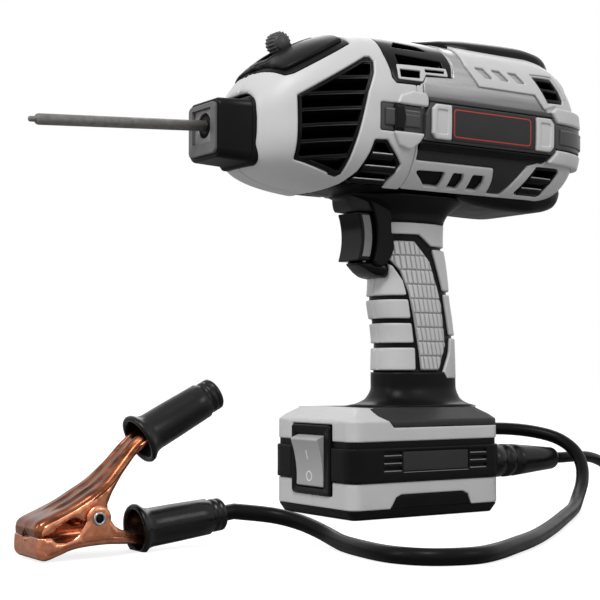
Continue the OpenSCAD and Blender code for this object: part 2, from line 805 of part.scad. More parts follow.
module inlay_2d(grow) {
    mid = (trigger_low + trigger_high) / 2;
    intersection() {
        region(trigger_front, trigger_low + 2 - grow, trigger_back, trigger_high - 1.5 + grow);
        translate([-22 - trigger_curve, mid]) difference() {
            circle(trigger_curve + 5.2 + grow, $fn = 96);
            circle(trigger_curve - grow, $fn = 96);
        }
    }
}

module trigger() color(dark) {
    difference() {
        rotate([90, 0, 0]) linear_extrude(trigger_w, center = true) trigger_2d();
        both() translate([0, -trigger_w / 2 + inlay_t, 0]) rotate([90, 0, 0])
            linear_extrude(5) inlay_2d(seat_gap);
    }
}

module trigger_inlays() color(grey) both() {
    translate([0, -trigger_w / 2 + inlay_t - seat_gap, 0]) rotate([90, 0, 0])
        linear_extrude(inlay_t) inlay_2d(0);
}

// ---- Grip pads -------------------------------------------------------------------------
finger_points = [
    [[-40, grip_z(22.2)], [8.4, grip_z(22.2)], [8, grip_z(36)], [-40, grip_z(36)]],
    [[-40, grip_z(39)], [7.3, grip_z(39)], [5.6, grip_z(51)], [-40, grip_z(51)]],
    [[-40, grip_z(54)], [5, grip_z(54)], [3, grip_z(65.6)], [-40, grip_z(65.6)]],
    [[-40, grip_z(68.2)], [2.2, grip_z(68.2)], [0, grip_z(77)], [-6, grip_z(86)], [-9.5, grip_z(88)],
        [-11.5, grip_z(86)], [-17, grip_z(83)], [-40, grip_z(83)]]
];
grip_panel_points = [
    [-9.5, grip_z(101.5)], [7.5, grip_z(101.5)], [19, grip_z(90)], [25, grip_z(75)], [29, grip_z(63)],
    [32, grip_z(37.5)], [26.5, grip_z(22.2)], [12.4, grip_z(22.2)], [11, grip_z(34)], [7.3, grip_z(54)],
    [3.5, grip_z(70)], [-1.8, grip_z(83)], [-9.5, grip_z(91.5)]
];
back_points = [
    [[21.5, grip_z(97)], [70, grip_z(97)], [70, grip_z(71.5)], [31, grip_z(71.5)]],
    [[31.8, grip_z(69.5)], [70, grip_z(69.5)], [70, grip_z(44)], [36.8, grip_z(44)]],
    [[37.2, grip_z(42.2)], [70, grip_z(42.2)], [70, grip_z(22.2)], [29.5, grip_z(22.2)], [35.5, grip_z(33)]]
];
yoke_points = [
    [-9.5, neck_z(-17.7)], [70, neck_z(-17.7)], [70, neck_z(-31.6)], [20.5, neck_z(-31.6)],
    [11, neck_z(-24.8)], [-9.5, neck_z(-24.8)]
];
front_angles = [for (k = [0 : grip_steps]) 90 + 180 * k / grip_steps];
rear_angles = [for (k = [0 : grip_steps]) -90 + 180 * k / grip_steps];

module grip_layer(low, high, angles, outer) {
    patch(grip_grid(low, high, angles, outer), grip_grid(low, high, angles, pad_t));
}

module trigger_keepout() {
    translate([0, lip_w / 2 + seat_gap, 0]) rotate([90, 0, 0]) linear_extrude(lip_w + 2 * seat_gap)
        offset(delta = seat_gap) chin_2d();
    translate([-60, -trigger_w / 2 - 1, pocket_low - 1]) cube([60 + pocket_rear, trigger_w + 2, 60]);
}

module finger_pads() color(pale) difference() {
    intersection() {
        grip_layer(22, 104, front_angles, 0);
        across() shapes(finger_points);
    }
    trigger_keepout();
}

module grip_panels() color(pale) both() difference() {
    intersection() {
        grip_layer(22, 104, between(grip_angles, 30, 150), 0.2);
        across() shape(grip_panel_points);
    }
    trigger_keepout();
}

module back_pads() color(pale) intersection() {
    grip_layer(22, 104, rear_angles, 0);
    across() shapes(back_points);
}

module grip_yoke() color(pale) intersection() {
    grip_layer(80, 118, [for (k = [0 : 16]) -120 + 240 * k / 16], 0);
    across() shape(yoke_points);
}

// ---- Base ------------------------------------------------------------------------------
groove_h = 3.5;
upper_low = band_top + groove_h;
upper_wall = 57;
chamfer = 11;
deck_front = -25.5;
notch = [[-29, foot_h], [-20.5, 14], [27, 14], [33, foot_h]];

module base_prism(z0, z1, grow) {
    translate([0, 0, z0]) linear_extrude(z1 - z0)
        rounded(base_l + 2 * grow, base_w + 2 * grow, base_r + grow);
}

// The base's outer form with its sloping shoulders.
module base_form(inset_by) {
    l = base_l / 2 - inset_by;
    w = base_w / 2 - inset_by;
    t = base_h - inset_by;
    s = upper_wall - inset_by / 2;
    intersection() {
        base_prism(0, t, -inset_by);
        across() polygon([[-l, 0], [l, 0], [l, s], [l - chamfer, t], [chamfer - l, t], [-l, s]]);
        along_x(-far / 2, far / 2) polygon([[-w, 0], [w, 0], [w, s], [w - chamfer, t], [chamfer - w, t], [-w, s]]);
    }
}

module switch_hole(gap) {
    translate([-base_l / 2 - 5, -bezel_w / 2 - gap, rocker_z + 0.8 - bezel_h / 2 - gap])
        cube([20, bezel_w + 2 * gap, bezel_h + 2 * gap]);
}

module deck_2d() {
    polygon([[deck_front - 10, base_h + 9], [deck_front - 10, base_h], [deck_front, 53], [far / 2, 53], [far / 2, base_h + 9]]);
}

module cord_holes() {
    translate([base_l / 2 - 8, relief_y, relief_z]) rotate([0, 90, 0]) cylinder(d = relief_root, h = 20);
    translate([base_l / 2 - 8, lead_y, lead_z]) rotate([0, 90, 0]) cylinder(d = gland_d, h = 20);
}

module base_lower() color(pale) {
    difference() {
        base_prism(foot_h, lower_top, 0);
        base_prism(foot_h - 1, lower_top + 1, -base_wall);
        across() offset(delta = seat_gap) polygon(notch);
        switch_hole(seam / 2);
        cord_holes();
    }
}

module base_band() color(dark) {
    difference() {
        union() {
            base_prism(lower_top, band_top, 1);
            base_prism(band_top - 1, upper_low, -0.6);
        }
        base_prism(lower_top - 1, upper_low + 1, -base_wall - 1);
        switch_hole(seam / 2);
        both() side_recess();
        cord_holes();
    }
}

label_recess = [50, 12];
module side_recess() {
    translate([5, -base_w / 2 - 1, 33.3]) rotate([90, 0, 0])
        linear_extrude(1.6, center = true) square(label_recess, center = true);
    for (x = [-27, 38]) for (z = [-4.5, 0, 4.5])
        translate([x, -base_w / 2 - 1, 33.3 + z]) cube([13, 1.2, 2.2], center = true);
}

module base_upper() color(pale) {
    difference() {
        base_form(0);
        translate([0, 0, -1]) base_form(base_wall);
        translate([-far / 2, -far / 2, -1]) cube([far, far, upper_low + 1]);
        across() deck_2d();
        switch_hole(seam / 2);
        cord_holes();
    }
}

module base_deck() color(grey) {
    difference() {
        intersection() {
            base_form(0);
            across() offset(delta = -seat_gap) deck_2d();
        }
        intersection() {
            translate([0, 0, -1]) base_form(base_wall);
            translate([-far / 2, -far / 2, 0]) cube([far, far, base_h - base_wall]);
        }
        cord_holes();
    }
}

module foot() color(dark) {
    cut = 4.5;
    h = base_l / 2;
    intersection() {
        base_prism(0, foot_h, 0);
        across() polygon([[cut - h, 0], [h - cut, 0], [h, foot_h - 1], [h, foot_h], [-h, foot_h], [-h, foot_h - 1]]);
    }
    both() translate([0, -base_w / 2 + base_wall, 0]) rotate([90, 0, 0])
        linear_extrude(base_wall) polygon([notch[0] + [0, -1], notch[0], notch[1], notch[2], notch[3], notch[3] + [0, -1]]);
}

// ---- Switch ----------------------------------------------------------------------------
bezel_front = -base_l / 2 - 1.5;
rocker_x = bezel_front + 4;
rocker_face = 6.8;
rocker_hollow = 62;
rocker_gap = 0.3;
rocker_pin = 1.6;
pin_fit = 0.06;

module switch_bezel() color(dark) {
    difference() {
        translate([bezel_front, -bezel_w / 2, rocker_z + 0.8 - bezel_h / 2]) cube([16, bezel_w, bezel_h]);
        translate([bezel_front - 1, -rocker_w / 2 - rocker_gap, rocker_z - rocker_r - rocker_gap])
            cube([15, rocker_w + 2 * rocker_gap, 2 * rocker_r + 2 * rocker_gap]);
        translate([rocker_x, 0, rocker_z]) rotate([90, 0, 0])
            cylinder(r = rocker_pin + pin_fit, h = rocker_w + 4.4, center = true);
    }
}

module rocker() color("gray") {
    translate([rocker_x, 0, rocker_z]) rotate([90, -rocker_swing / 2, 0]) {
        difference() {
            intersection() {
                cylinder(r = rocker_r, h = rocker_w, center = true, $fn = 96);
                translate([4 - rocker_face - 12, -30, -30]) cube([12 + rocker_face, 60, 60]);
                translate([-rocker_face - 0.01, -30, -30]) cube([rocker_face + 4, 60, 60]);
            }
            translate([-rocker_face - rocker_hollow + 1.5, 0, 0])
                cylinder(r = rocker_hollow, h = rocker_w + 1, center = true, $fn = 180);
        }
        cylinder(r = rocker_pin, h = rocker_w + 3.6, center = true);
    }
}

// ---- Cords -----------------------------------------------------------------------------
relief_y = -28;
relief_z = 30;
relief_root = 21;
relief_l = 56;
lead_y = 5;
lead_z = 47;
gland_d = 13;
gland_l = 6;
coil_centre = [285, -23];
plug_x = 229;
plug_y = -103;
plug_z = 18.3;
clamp_y = -83;
boot_l = 48;
lower_boot_at = [-216, 10];
lower_boot_angle = 6;
lead_points = [
    [71, 5, 47], [90, 1, 48.4], [107, -11, 47], [118, -25, 43], [121, -38, 36], [118.5, -48, 27],
    [110, -57, 17], [96, -67, 8.5], [80, -80, 4.5], [58, -98, 4], [33, -118, 4], [4, -141, 4],
    [-26, -163.5, 4], [-48, -178.5, 4], [-69, -190.5, 4], [-88, -201, 4], [-105, -207.5, 4],
    [-118, -206.5, 4], [-129.6, -200.6, 4], [-136.5, -190.5, 4], [-139, -178, 4], [-137.5, -160, 4],
    [-133.5, -140, 4], [-131, -126, 5.5], [-131.5, -115, 8], [-134.5, -101.5, 11], [-143, -90.5, 13.6]
];
cord_points = [
    [122, -28, 30], [138, -26, 30], [154, -22, 28.5], [172, -15, 24], [190, -6, 17], [208, 3, 10],
    [226, 11, 5.5], [246, 18, 3.6], [264, 20.8, 3.5]
];
tail_points = [[273, -67.6, 25.4], [258, -69.5, 23.5], [243, -74, 21.2], [233, -81, 19.4], [229, -91, 18.3]];

function unit(v) = v / norm(v);
function spline_at(a, b, c, d, t) =
    0.5 * (2 * b + t * (c - a) + t * t * (2 * a - 5 * b + 4 * c - d) + t * t * t * (3 * b - a - 3 * c + d));
function smooth(p, n) = concat(
    [for (i = [0 : len(p) - 2]) for (k = [0 : n - 1])
        spline_at(p[max(0, i - 1)], p[i], p[i + 1], p[min(len(p) - 1, i + 2)], k / n)],
    [p[len(p) - 1]]);
function tangent(p, i) = unit(p[min(len(p) - 1, i + 1)] - p[max(0, i - 1)]);
function ring_at(p, t, r, sides) =
    let (side = unit(cross(t, [0, 0, 1])), up = cross(side, t))
    [for (k = [0 : sides - 1]) p + r * (cos(360 * k / sides) * side + sin(360 * k / sides) * up)];

module tube(p, d, sides) loft([for (i = [0 : len(p) - 1]) ring_at(p[i], tangent(p, i), d / 2, sides)]);

// The coil winds in and out again in four layers and climbs a layer at each reversal.
coil_layers = 4;
layer_turns = coil_turns / coil_layers;
coil_pitch = cord_d + coil_gap;
coil_out = coil_r + coil_pitch * layer_turns / 2;
coil_in = coil_out - coil_pitch * layer_turns;
coil_steps = 24;
climb = 0.25;
function ease(t) = let (c = max(0, min(1, t))) c * c * (3 - 2 * c);
function coil_radius(u) =
    let (q = min(coil_layers - 1, floor(u / layer_turns)), f = u - q * layer_turns)
    q % 2 == 0 ? coil_out - coil_pitch * f : coil_in + coil_pitch * f;
function coil_height(u) = cord_d / 2
    + coil_pitch * (ease((u - layer_turns) / 2 / climb + 0.5) + ease((u - 2 * layer_turns) / 2 / climb + 0.5)
    + ease((u - 3 * layer_turns) / 2 / climb + 0.5));
function coil_point(u) =
    [coil_centre[0] + coil_radius(u) * sin(360 * u), coil_centre[1] + coil_radius(u) * cos(360 * u), coil_height(u)];
coil_path = [for (k = [0 : coil_turns * coil_steps]) coil_point(k / coil_steps)];
coil_least = min([for (i = [0 : len(coil_path) - 1]) for (j = [i + 16 : 1 : len(coil_path) - 1])
    norm(coil_path[i] - coil_path[j])]) - cord_d;

module mains_relief() color(dark) {
    x = base_l / 2 - 4;
    difference() {
        translate([x, relief_y, relief_z]) rotate([0, 90, 0]) rotate_extrude()
            polygon([[0, 0], [relief_root / 2 - 0.1, 0], [relief_root / 2 - 0.1, 14], [9.4, 22], [7.6, relief_l + 2],
                [7, relief_l + 4], [0, relief_l + 4]]);
        for (k = [0 : 4]) translate([x + 17 + 4 * k, relief_y, relief_z]) rotate([0, 90, 0]) difference() {
            cylinder(r = 14, h = 1.6);
            translate([0, 0, -1]) cylinder(r = 8, h = 4);
        }
    }
}

module ground_gland() color(dark) {
    translate([base_l / 2 - 4, lead_y, lead_z]) rotate([0, 90, 0]) cylinder(d = gland_d - 0.2, h = 4 + gland_l);
}

lead_start = [base_l / 2 + gland_l, lead_y, lead_z];
function boot_axis(t) = [
    lower_boot_at[0] + t * cos(lower_boot_angle), clamp_y, lower_boot_at[1] + t * sin(lower_boot_angle)
];
lead_path = concat([lead_start], smooth(concat(lead_points, [boot_axis(boot_l + lead_d)]), 2), [boot_axis(boot_l)]);
cord_path = concat([[base_l / 2 + relief_l, relief_y, relief_z]], smooth(concat(cord_points, [coil_point(0)]), 2));
tail_path = concat(smooth(concat([coil_point(coil_turns)], tail_points), 2), [[plug_x, plug_y, plug_z]]);
function length_of(p) = len(p) < 2 ? 0 : [for (i = [1 : len(p) - 1]) norm(p[i] - p[i - 1])] * [for (i = [1 : len(p) - 1]) 1];

module ground_lead() color(dark) {
    echo(lead_length = length_of(lead_path));
    tube(lead_path, lead_d, 10);
}

module mains_cord() color(dark) {
    echo(cord_length = length_of(cord_path) + length_of(tail_path) + length_of(coil_path));
    tube(cord_path, cord_d, 10);
    tube(tail_path, cord_d, 10);
}

module mains_coil() color(dark) {
    echo(coil_least_gap = coil_least);
    tube(coil_path, cord_d, 6);
}

// ---- Plug ------------------------------------------------------------------------------
module plug_frame() translate([plug_x, plug_y, plug_z]) rotate([0, -90, 90]) children();

module plug_body() color(dark) {
    plug_frame() intersection() {
        rotate_extrude() polygon([[0, 0], [5, 0], [6, 14], [plug_d / 2 - 3, 20], [plug_d / 2, 24],
            [plug_d / 2, 20 + plug_l], [0, 20 + plug_l]]);
        translate([-plug_d / 2 + 0.2, -far / 2, -1]) cube([far, far, far]);
    }
}

module plug_pins() color("lightgray") {
    plug_frame() for (s = [-1, 1]) translate([0, s * pin_pitch / 2, 20 + plug_l])
        rotate_extrude() polygon([[0, 0], [pin_d / 2, 0], [pin_d / 2, pin_l - 1.2], [pin_d / 2 - 1.2, pin_l], [0, pin_l]]);
}

// ---- Ground clamp ----------------------------------------------------------------------
pivot = [-242, 18.5];
ear_r = 6;
rivet_fit = 0.06;
rivet_wall = 0.8;
lower_points = [
    [-271.5, 11], [-271.5, 3], [-268.5, 0.6], [-254.5, 4.6], [-247.5, 5.6], [-236.5, 6], [-229, 5.3],
    [-205, 2.4], [-205, 5.5], [-214, 8.2], [-231, 12.6], [-235.8, 16.3], [-242, 18.5], [-248, 18.5],
    [-249.5, 15], [-253, 10.2], [-259, 7.6], [-263, 7.4], [-266, 11]
];
upper_points = [
    [-271.8, 11.4], [-271.8, 16.5], [-269, 18.8], [-254, 25.2], [-237.5, 35], [-220, 52.2],
    [-206, 61], [-203, 56], [-218.5, 46.8], [-228.5, 36.5], [-235, 28], [-236, 20], [-242, 14.5], [-248, 16],
    [-251.5, 19], [-258, 17], [-264, 13.6], [-266, 11.4]
];

boot_half = 7.4;
// The sheet narrows from the jaw to the grip.
module arm_taper(w, wall) {
    h = w / 2 - wall;
    b = boot_half - wall;
    translate([0, clamp_y, -far / 2]) linear_extrude(far)
        polygon([[-280, -h], [-236, -h], [-216, -b], [-190, -b], [-190, b], [-216, b], [-236, h], [-280, h]]);
}

module jaw_outline(points) {
    polygon(points);
    translate(pivot) circle(ear_r);
}

// A channel of folded sheet, open towards the other jaw.
module jaw_body(points, w, side) {
    difference() {
        intersection() {
            translate([0, clamp_y, 0]) rotate([90, 0, 0]) linear_extrude(w, center = true) jaw_outline(points);
            arm_taper(w, 0);
        }
        intersection() {
            translate([0, clamp_y, 0]) rotate([90, 0, 0]) linear_extrude(w, center = true) intersection() {
                for (k = [0 : 4]) translate([0, side * (sheet_t + k * 4)]) jaw_outline(points);
                region(-271.6 + sheet_t, -far, far, far);
            }
            arm_taper(w, sheet_t);
        }
    }
}

module jaw_notch() {
    translate([-272, clamp_y, 11.2]) rotate([45, 0, 0]) cube([8, 6, 6], center = true);
}

module behind(at, angle) {
    translate([at[0], clamp_y, at[1]]) rotate([0, 90 - angle, 0]) translate([-20, -30, -seat_gap]) cube([40, 60, 60]);
}

// The end of each arm is a plain strip that plugs into its grip.
module arm_end(at, angle, drop, grow) {
    translate([at[0], clamp_y, at[1]]) rotate([0, 90 - angle, 0])
        translate([drop - 1 - grow, -boot_half + 1 - grow, -arm_seat])
            cube([2 + 2 * grow, 2 * boot_half - 2 + 2 * grow, arm_seat + 12 + grow]);
}

module jaw(points, w, side, hole_r, at, angle, drop) {
    difference() {
        jaw_body(points, w, side);
        translate([pivot[0], clamp_y, pivot[1]]) rotate([90, 0, 0]) cylinder(r = hole_r, h = jaw_w + 2, center = true);
        jaw_notch();
        behind(at, angle);
    }
    arm_end(at, angle, drop, 0);
}

module lower_jaw() color(copper)
    jaw(lower_points, jaw_w, 1, rivet_d / 2 + seat_gap, lower_boot_at, lower_boot_angle, lower_drop);

module upper_jaw() color(copper)
    jaw(upper_points, jaw_w - 2 * sheet_t - 2 * jaw_gap, -1, rivet_d / 2 + rivet_fit, upper_boot_at,
        upper_boot_angle, upper_drop);

module clamp_rivet() color("silver") {
    translate([pivot[0], clamp_y, pivot[1]]) rotate([90, 0, 0]) difference() {
        union() {
            cylinder(d = rivet_d, h = jaw_w + 1, center = true);
            for (s = [-1, 1]) translate([0, 0, s * (jaw_w / 2 + 0.4)]) cylinder(d = rivet_d + 2, h = 0.6, center = true);
        }
        cylinder(d = rivet_d - 2 * rivet_wall, h = jaw_w + 4, center = true);
    }
}

spring_wire = 1.6;
spring_r = rivet_d / 2 + spring_wire / 2 + 0.2;
spring_curls = 4;
spring_pitch = 2.4;
function spring_point(t) = [
    pivot[0] + spring_r * cos(360 * t), clamp_y - spring_curls * spring_pitch / 2 + spring_pitch * t,
    pivot[1] + spring_r * sin(360 * t)
];
function along_y_ring(p, t, r, sides) =
    let (side = unit(cross(t, [0, 1, 0])), up = cross(side, t))
    [for (k = [0 : sides - 1]) p + r * (cos(360 * k / sides) * side + sin(360 * k / sides) * up)];
module clamp_spring() color("gray") {
    p = [for (k = [0 : 8 * spring_curls]) spring_point(k / 8)];
    loft([for (i = [0 : len(p) - 1]) along_y_ring(p[i], tangent(p, i), spring_wire / 2, 6)]);
}

flange_d = 25;
module boot() {
    rotate_extrude() polygon([
        [0, 0], [flange_d / 2 - 0.6, 0], [flange_d / 2, 1], [flange_d / 2 - 0.4, 2.4], [boot_d / 2 + 1, 4.5],
        [boot_d / 2, 8], [boot_d / 2, boot_l - 7], [boot_d / 2 - 1.4, boot_l - 7], [boot_d / 2 - 1.4, boot_l - 0.8],
        [boot_d / 2 - 2.2, boot_l], [0, boot_l]
    ]);
}

upper_boot_at = [-214.5, 53];
upper_boot_angle = 27.7;
arm_seat = 6;
upper_drop = -1;
lower_drop = 4.2;

module grip_boot(at, angle, drop) difference() {
    translate([at[0], clamp_y, at[1]]) rotate([0, 90 - angle, 0]) boot();
    arm_end(at, angle, drop, seat_gap / 2);
}
module upper_boot() color(dark) grip_boot(upper_boot_at, upper_boot_angle, upper_drop);
// Its flange lies flat on the floor.
module lower_boot() color(dark) intersection() {
    grip_boot(lower_boot_at, lower_boot_angle, lower_drop);
    translate([-far, -far, 0]) cube(2 * far);
}

// ---- Inside the housing ----------------------------------------------------------------
fan_hub = fan_w * 4 / 11;
fan_bore = fan_w - 4;
axle_r = 2;
axle_fit = 0.05;

module fan_frame() color(dark) {
    translate([fan_x, 0, fan_z]) rotate([90, 0, 90]) {
        difference() {
            linear_extrude(fan_depth) difference() {
                rounded(fan_w, fan_w, 4);
                circle(d = fan_bore);
            }
        }
        for (k = [0 : 2]) rotate(120 * k + 90) translate([0, -1.5, 0]) cube([fan_bore / 2 + 1, 3, 2]);
        cylinder(d = fan_hub, h = 2);
        cylinder(r = axle_r, h = fan_depth - 2);
    }
}

module fan_rotor() color(grey) {
    blade_r = fan_bore / 2 - 1.2;
    translate([fan_x, 0, fan_z]) rotate([90, 0, 90]) difference() {
        intersection() {
            union() {
                translate([0, 0, 2.3]) cylinder(d = fan_hub, h = fan_depth - 3.5);
                for (k = [0 : fan_blades - 1]) rotate(360 * k / fan_blades)
                    translate([blade_r / 2, 0, fan_depth / 2 + 0.4]) rotate([38, 0, 0]) cube([blade_r, 1.4, 12], center = true);
            }
            translate([0, 0, 2.3]) cylinder(r = blade_r, h = fan_depth - 3.5);
        }
        translate([0, 0, 1]) cylinder(r = axle_r + axle_fit, h = fan_depth - 3 + 0.3);
    }
}

module circuit_board() color("darkgreen") {
    translate([board_front, -board_w / 2, board_z]) cube([board_rear - board_front, board_w, board_t]);
}

heat_fins = 9;
heat_fin_t = 1.6;
heat_base = 5;
heat_l = side_x(6) - side_x(-38);
heat_w = board_w - 6;
heat_h = side_z(246) - side_z(212);
module heatsink() color("lightgray") {
    translate([side_x(-38), -heat_w / 2, board_z + board_t]) {
        cube([heat_l, heat_w, heat_base]);
        for (k = [0 : heat_fins - 1])
            translate([0, k * (heat_w - heat_fin_t) / (heat_fins - 1), 0]) cube([heat_l, heat_fin_t, heat_h]);
    }
}

yoke_l = side_x(46) - side_x(10);
yoke_w = board_w * 20 / 33;
yoke_h = (side_z(244) - side_z(212)) / 4;
winding_in = 3;
// A slab of the transformer, centred, from one height to another.
module layer(l, w, low, high) translate([-l / 2, -w / 2, low]) cube([l, w, high - low]);
module transformer() color("goldenrod") translate([side_x(28), 0, board_z + board_t]) {
    layer(yoke_l, yoke_w, 0, yoke_h);
    layer(yoke_l, yoke_w, 3 * yoke_h, 4 * yoke_h);
    layer(yoke_l * 4 / 9, yoke_w, yoke_h / 2, 3.5 * yoke_h);
    layer(yoke_l - 2 * winding_in, yoke_w - 2 * winding_in, yoke_h * 7 / 8, 3.1 * yoke_h);
}

housing();  // housing_left
mirrored() housing();  // housing_right
front_shell();  // front_shell_left
mirrored() front_shell();  // front_shell_right
rear_shell();  // rear_shell_left
mirrored() rear_shell();  // rear_shell_right
rear_sill();  // rear_sill_left
mirrored() rear_sill();  // rear_sill_right
top_cover();
front_panel();
grille();  // grille_left
mirrored() grille();  // grille_right
upper_vents();
lower_vents();
rear_vents();
side_panels();
band();  // band_left
mirrored() band();  // band_right
label_plates();
brackets();
collars();
nose_block();
nose_plate();
chuck_block();
chuck_jaw();
electrode();
slider_frame();
slider_knob();
trigger();
trigger_inlays();
finger_pads();
grip_panels();
back_pads();
grip_yoke();
base_lower();
base_band();
base_upper();
base_deck();
foot();
switch_bezel();
rocker();
mains_relief();
ground_gland();
ground_lead();
mains_cord();
mains_coil();
plug_body();
plug_pins();
lower_jaw();
upper_jaw();
clamp_rivet();
clamp_spring();
upper_boot();
lower_boot();
fan_frame();
fan_rotor();
circuit_board();
heatsink();
transformer();
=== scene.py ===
"""A handheld stick-electrode welding gun with its ground lead, clamp and mains cord.

Lengths are in millimetres, and become metres where a piece or a cord is made. X runs from the nose to the
tail and Z up. The body is symmetric about y = 0, so its pieces are drawn on the left, where y is below 0, and
mirrored.
"""
import math

import bpy
import numpy as np
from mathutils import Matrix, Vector
from mathutils.geometry import delaunay_2d_cdt
from mathutils.kdtree import KDTree


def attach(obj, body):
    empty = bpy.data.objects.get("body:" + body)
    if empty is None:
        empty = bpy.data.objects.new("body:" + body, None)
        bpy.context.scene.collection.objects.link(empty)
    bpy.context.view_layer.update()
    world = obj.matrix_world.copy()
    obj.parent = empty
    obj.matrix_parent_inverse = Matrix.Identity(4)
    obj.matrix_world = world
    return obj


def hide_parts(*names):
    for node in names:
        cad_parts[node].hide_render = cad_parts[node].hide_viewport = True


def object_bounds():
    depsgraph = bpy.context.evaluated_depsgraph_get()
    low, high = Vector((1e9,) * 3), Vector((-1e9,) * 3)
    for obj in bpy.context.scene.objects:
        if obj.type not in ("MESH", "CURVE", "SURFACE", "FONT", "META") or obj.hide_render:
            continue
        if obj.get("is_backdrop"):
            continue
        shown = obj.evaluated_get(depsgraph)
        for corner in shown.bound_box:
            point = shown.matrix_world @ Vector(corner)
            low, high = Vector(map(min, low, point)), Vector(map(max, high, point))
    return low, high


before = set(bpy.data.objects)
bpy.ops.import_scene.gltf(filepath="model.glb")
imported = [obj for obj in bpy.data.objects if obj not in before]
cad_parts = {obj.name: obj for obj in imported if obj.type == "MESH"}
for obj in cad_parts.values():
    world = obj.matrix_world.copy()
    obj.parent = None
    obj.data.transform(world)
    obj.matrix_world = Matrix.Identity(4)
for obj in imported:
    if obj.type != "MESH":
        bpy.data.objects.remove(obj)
scene = bpy.context.scene
scene.view_settings.view_transform = "Standard"
cad_low, cad_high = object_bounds()

MM = 0.001

# ---- Camera ------------------------------------------------------------------------------
CAMERA_AT = (-0.51803, -0.67934, 0.08738)
CAMERA_YAW = math.radians(33.7)
CAMERA_PITCH = math.radians(2.879)
LENS, SENSOR = 82.3, 36

camera = bpy.data.objects.new("camera", bpy.data.cameras.new("camera"))
camera.data.lens = LENS
camera.data.sensor_width = SENSOR
camera.data.clip_start = 0.01
camera.location = CAMERA_AT
look = Vector((
    math.sin(CAMERA_YAW) * math.cos(CAMERA_PITCH),
    math.cos(CAMERA_YAW) * math.cos(CAMERA_PITCH),
    math.sin(CAMERA_PITCH),
))
camera.rotation_euler = look.to_track_quat("-Z", "Y").to_euler()
scene.collection.objects.link(camera)
scene.camera = camera


# ---- Materials ---------------------------------------------------------------------------
def linear(value):
    """An sRGB grey or colour, 0 to 1, as Blender's linear colour."""
    values = (value,) * 3 if np.isscalar(value) else value
    return tuple(v / 12.92 if v <= 0.04045 else ((v + 0.055) / 1.055) ** 2.4 for v in values) + (1,)


def add_node(tree, kind, *sources, **values):
    """A new node: sources link to its first inputs, and values go to its properties or named inputs."""
    made = tree.nodes.new(kind)
    for source, target in zip(sources, made.inputs):
        tree.links.new(source, target)
    for key, value in values.items():
        if hasattr(made, key):
            setattr(made, key, value)
        else:
            made.inputs[key.replace("_", " ")].default_value = value
    return made


class Finish:
    """A principled material whose colour, roughness and relief are built from nodes."""

    def __init__(self, name, colour, rough, **sockets):
        self.material = bpy.data.materials.new(name)
        self.material.use_nodes = True
        self.tree = self.material.node_tree
        self.shader = self.tree.nodes["Principled BSDF"]
        self.shader.inputs["Base Color"].default_value = linear(colour)
        self.shader.inputs["Roughness"].default_value = rough
        for socket, value in sockets.items():
            self.shader.inputs[socket.replace("_", " ")].default_value = value
        self.rough = rough
        self.coords = self.node("ShaderNodeTexCoord").outputs["Object"]
        self.height = None

    def node(self, kind, *sources, **values):
        return add_node(self.tree, kind, *sources, **values)

    def link(self, source, target):
        self.tree.links.new(source, target)

    def noise(self, scale, detail=3.0, stretch=None):
        """Soft noise from 0 to 1, its waves drawn out by the stretch."""
        source = self.coords
        if stretch:
            source = self.node("ShaderNodeMapping", self.coords, Scale=stretch).outputs[0]
        return self.node("ShaderNodeTexNoise", source, Scale=scale, Detail=detail).outputs["Fac"]

    def ranged(self, source, low, high, start=0.3, end=0.7):
        """Low where the source is at the start or below, high where it is at the end or above."""
        made = self.node("ShaderNodeMapRange", source, From_Min=start, From_Max=end, To_Min=low, To_Max=high)
        return made.outputs["Result"]

    def spotted(self, low, high, scale, detail=5.0, stretch=None):
        """The colour wanders between two tones."""
        made = self.node("ShaderNodeValToRGB", self.noise(scale, detail, stretch))
        for element, position, tone in zip(made.color_ramp.elements, (0.3, 0.7), (low, high)):
            element.position, element.color = position, linear(tone)
        self.link(made.outputs["Color"], self.shader.inputs["Base Color"])
        return self

    def painted_shade_by_height(self, low, high, levels):
        """Painted shade and light: the colour is dimmer at the lower height and fuller at the upper one, as
        if lit from above.
        """
        height = self.node("ShaderNodeSeparateXYZ", self.coords).outputs["Z"]
        colour = self.shader.inputs["Base Color"]
        scaled = self.node("ShaderNodeVectorMath", colour.links[0].from_socket, operation="SCALE")
        self.link(self.ranged(height, levels[0], levels[1], low, high), scaled.inputs["Scale"])
        self.link(scaled.outputs[0], colour)
        return self

    def worn(self, scale, spread, stretch=None):
        """The roughness wanders by the spread."""
        source = self.ranged(self.noise(scale, 4.0, stretch), self.rough - spread, self.rough + spread)
        self.link(source, self.shader.inputs["Roughness"])
        return self

    def relief(self, scale, distance, detail=2.0, stretch=None):
        """Adds a layer of fine relief, its height in metres."""
        bump = self.node("ShaderNodeBump", Strength=1.0, Distance=distance)
        self.link(self.noise(scale, detail, stretch), bump.inputs["Height"])
        if self.height:
            self.link(self.height, bump.inputs["Normal"])
        self.height = bump.outputs["Normal"]
        self.link(self.height, self.shader.inputs["Normal"])
        return self


def moulded(name, tone, rough, grain, distance, tone_spread=0.012, specular=0.5, spread=0.05, **sockets):
    """Moulded plastic: a fine spark-eroded grain, soft flow marks and faint handling marks."""
    base = np.array((tone,) * 3 if np.isscalar(tone) else tone, float)
    made = Finish(name, tuple(base), rough, Specular_IOR_Level=specular, **sockets)
    made.spotted(tuple(base - tone_spread), tuple(base + tone_spread), 38)
    return made.worn(55, spread).relief(grain, distance).relief(90, distance * 0.8, 1.0).material


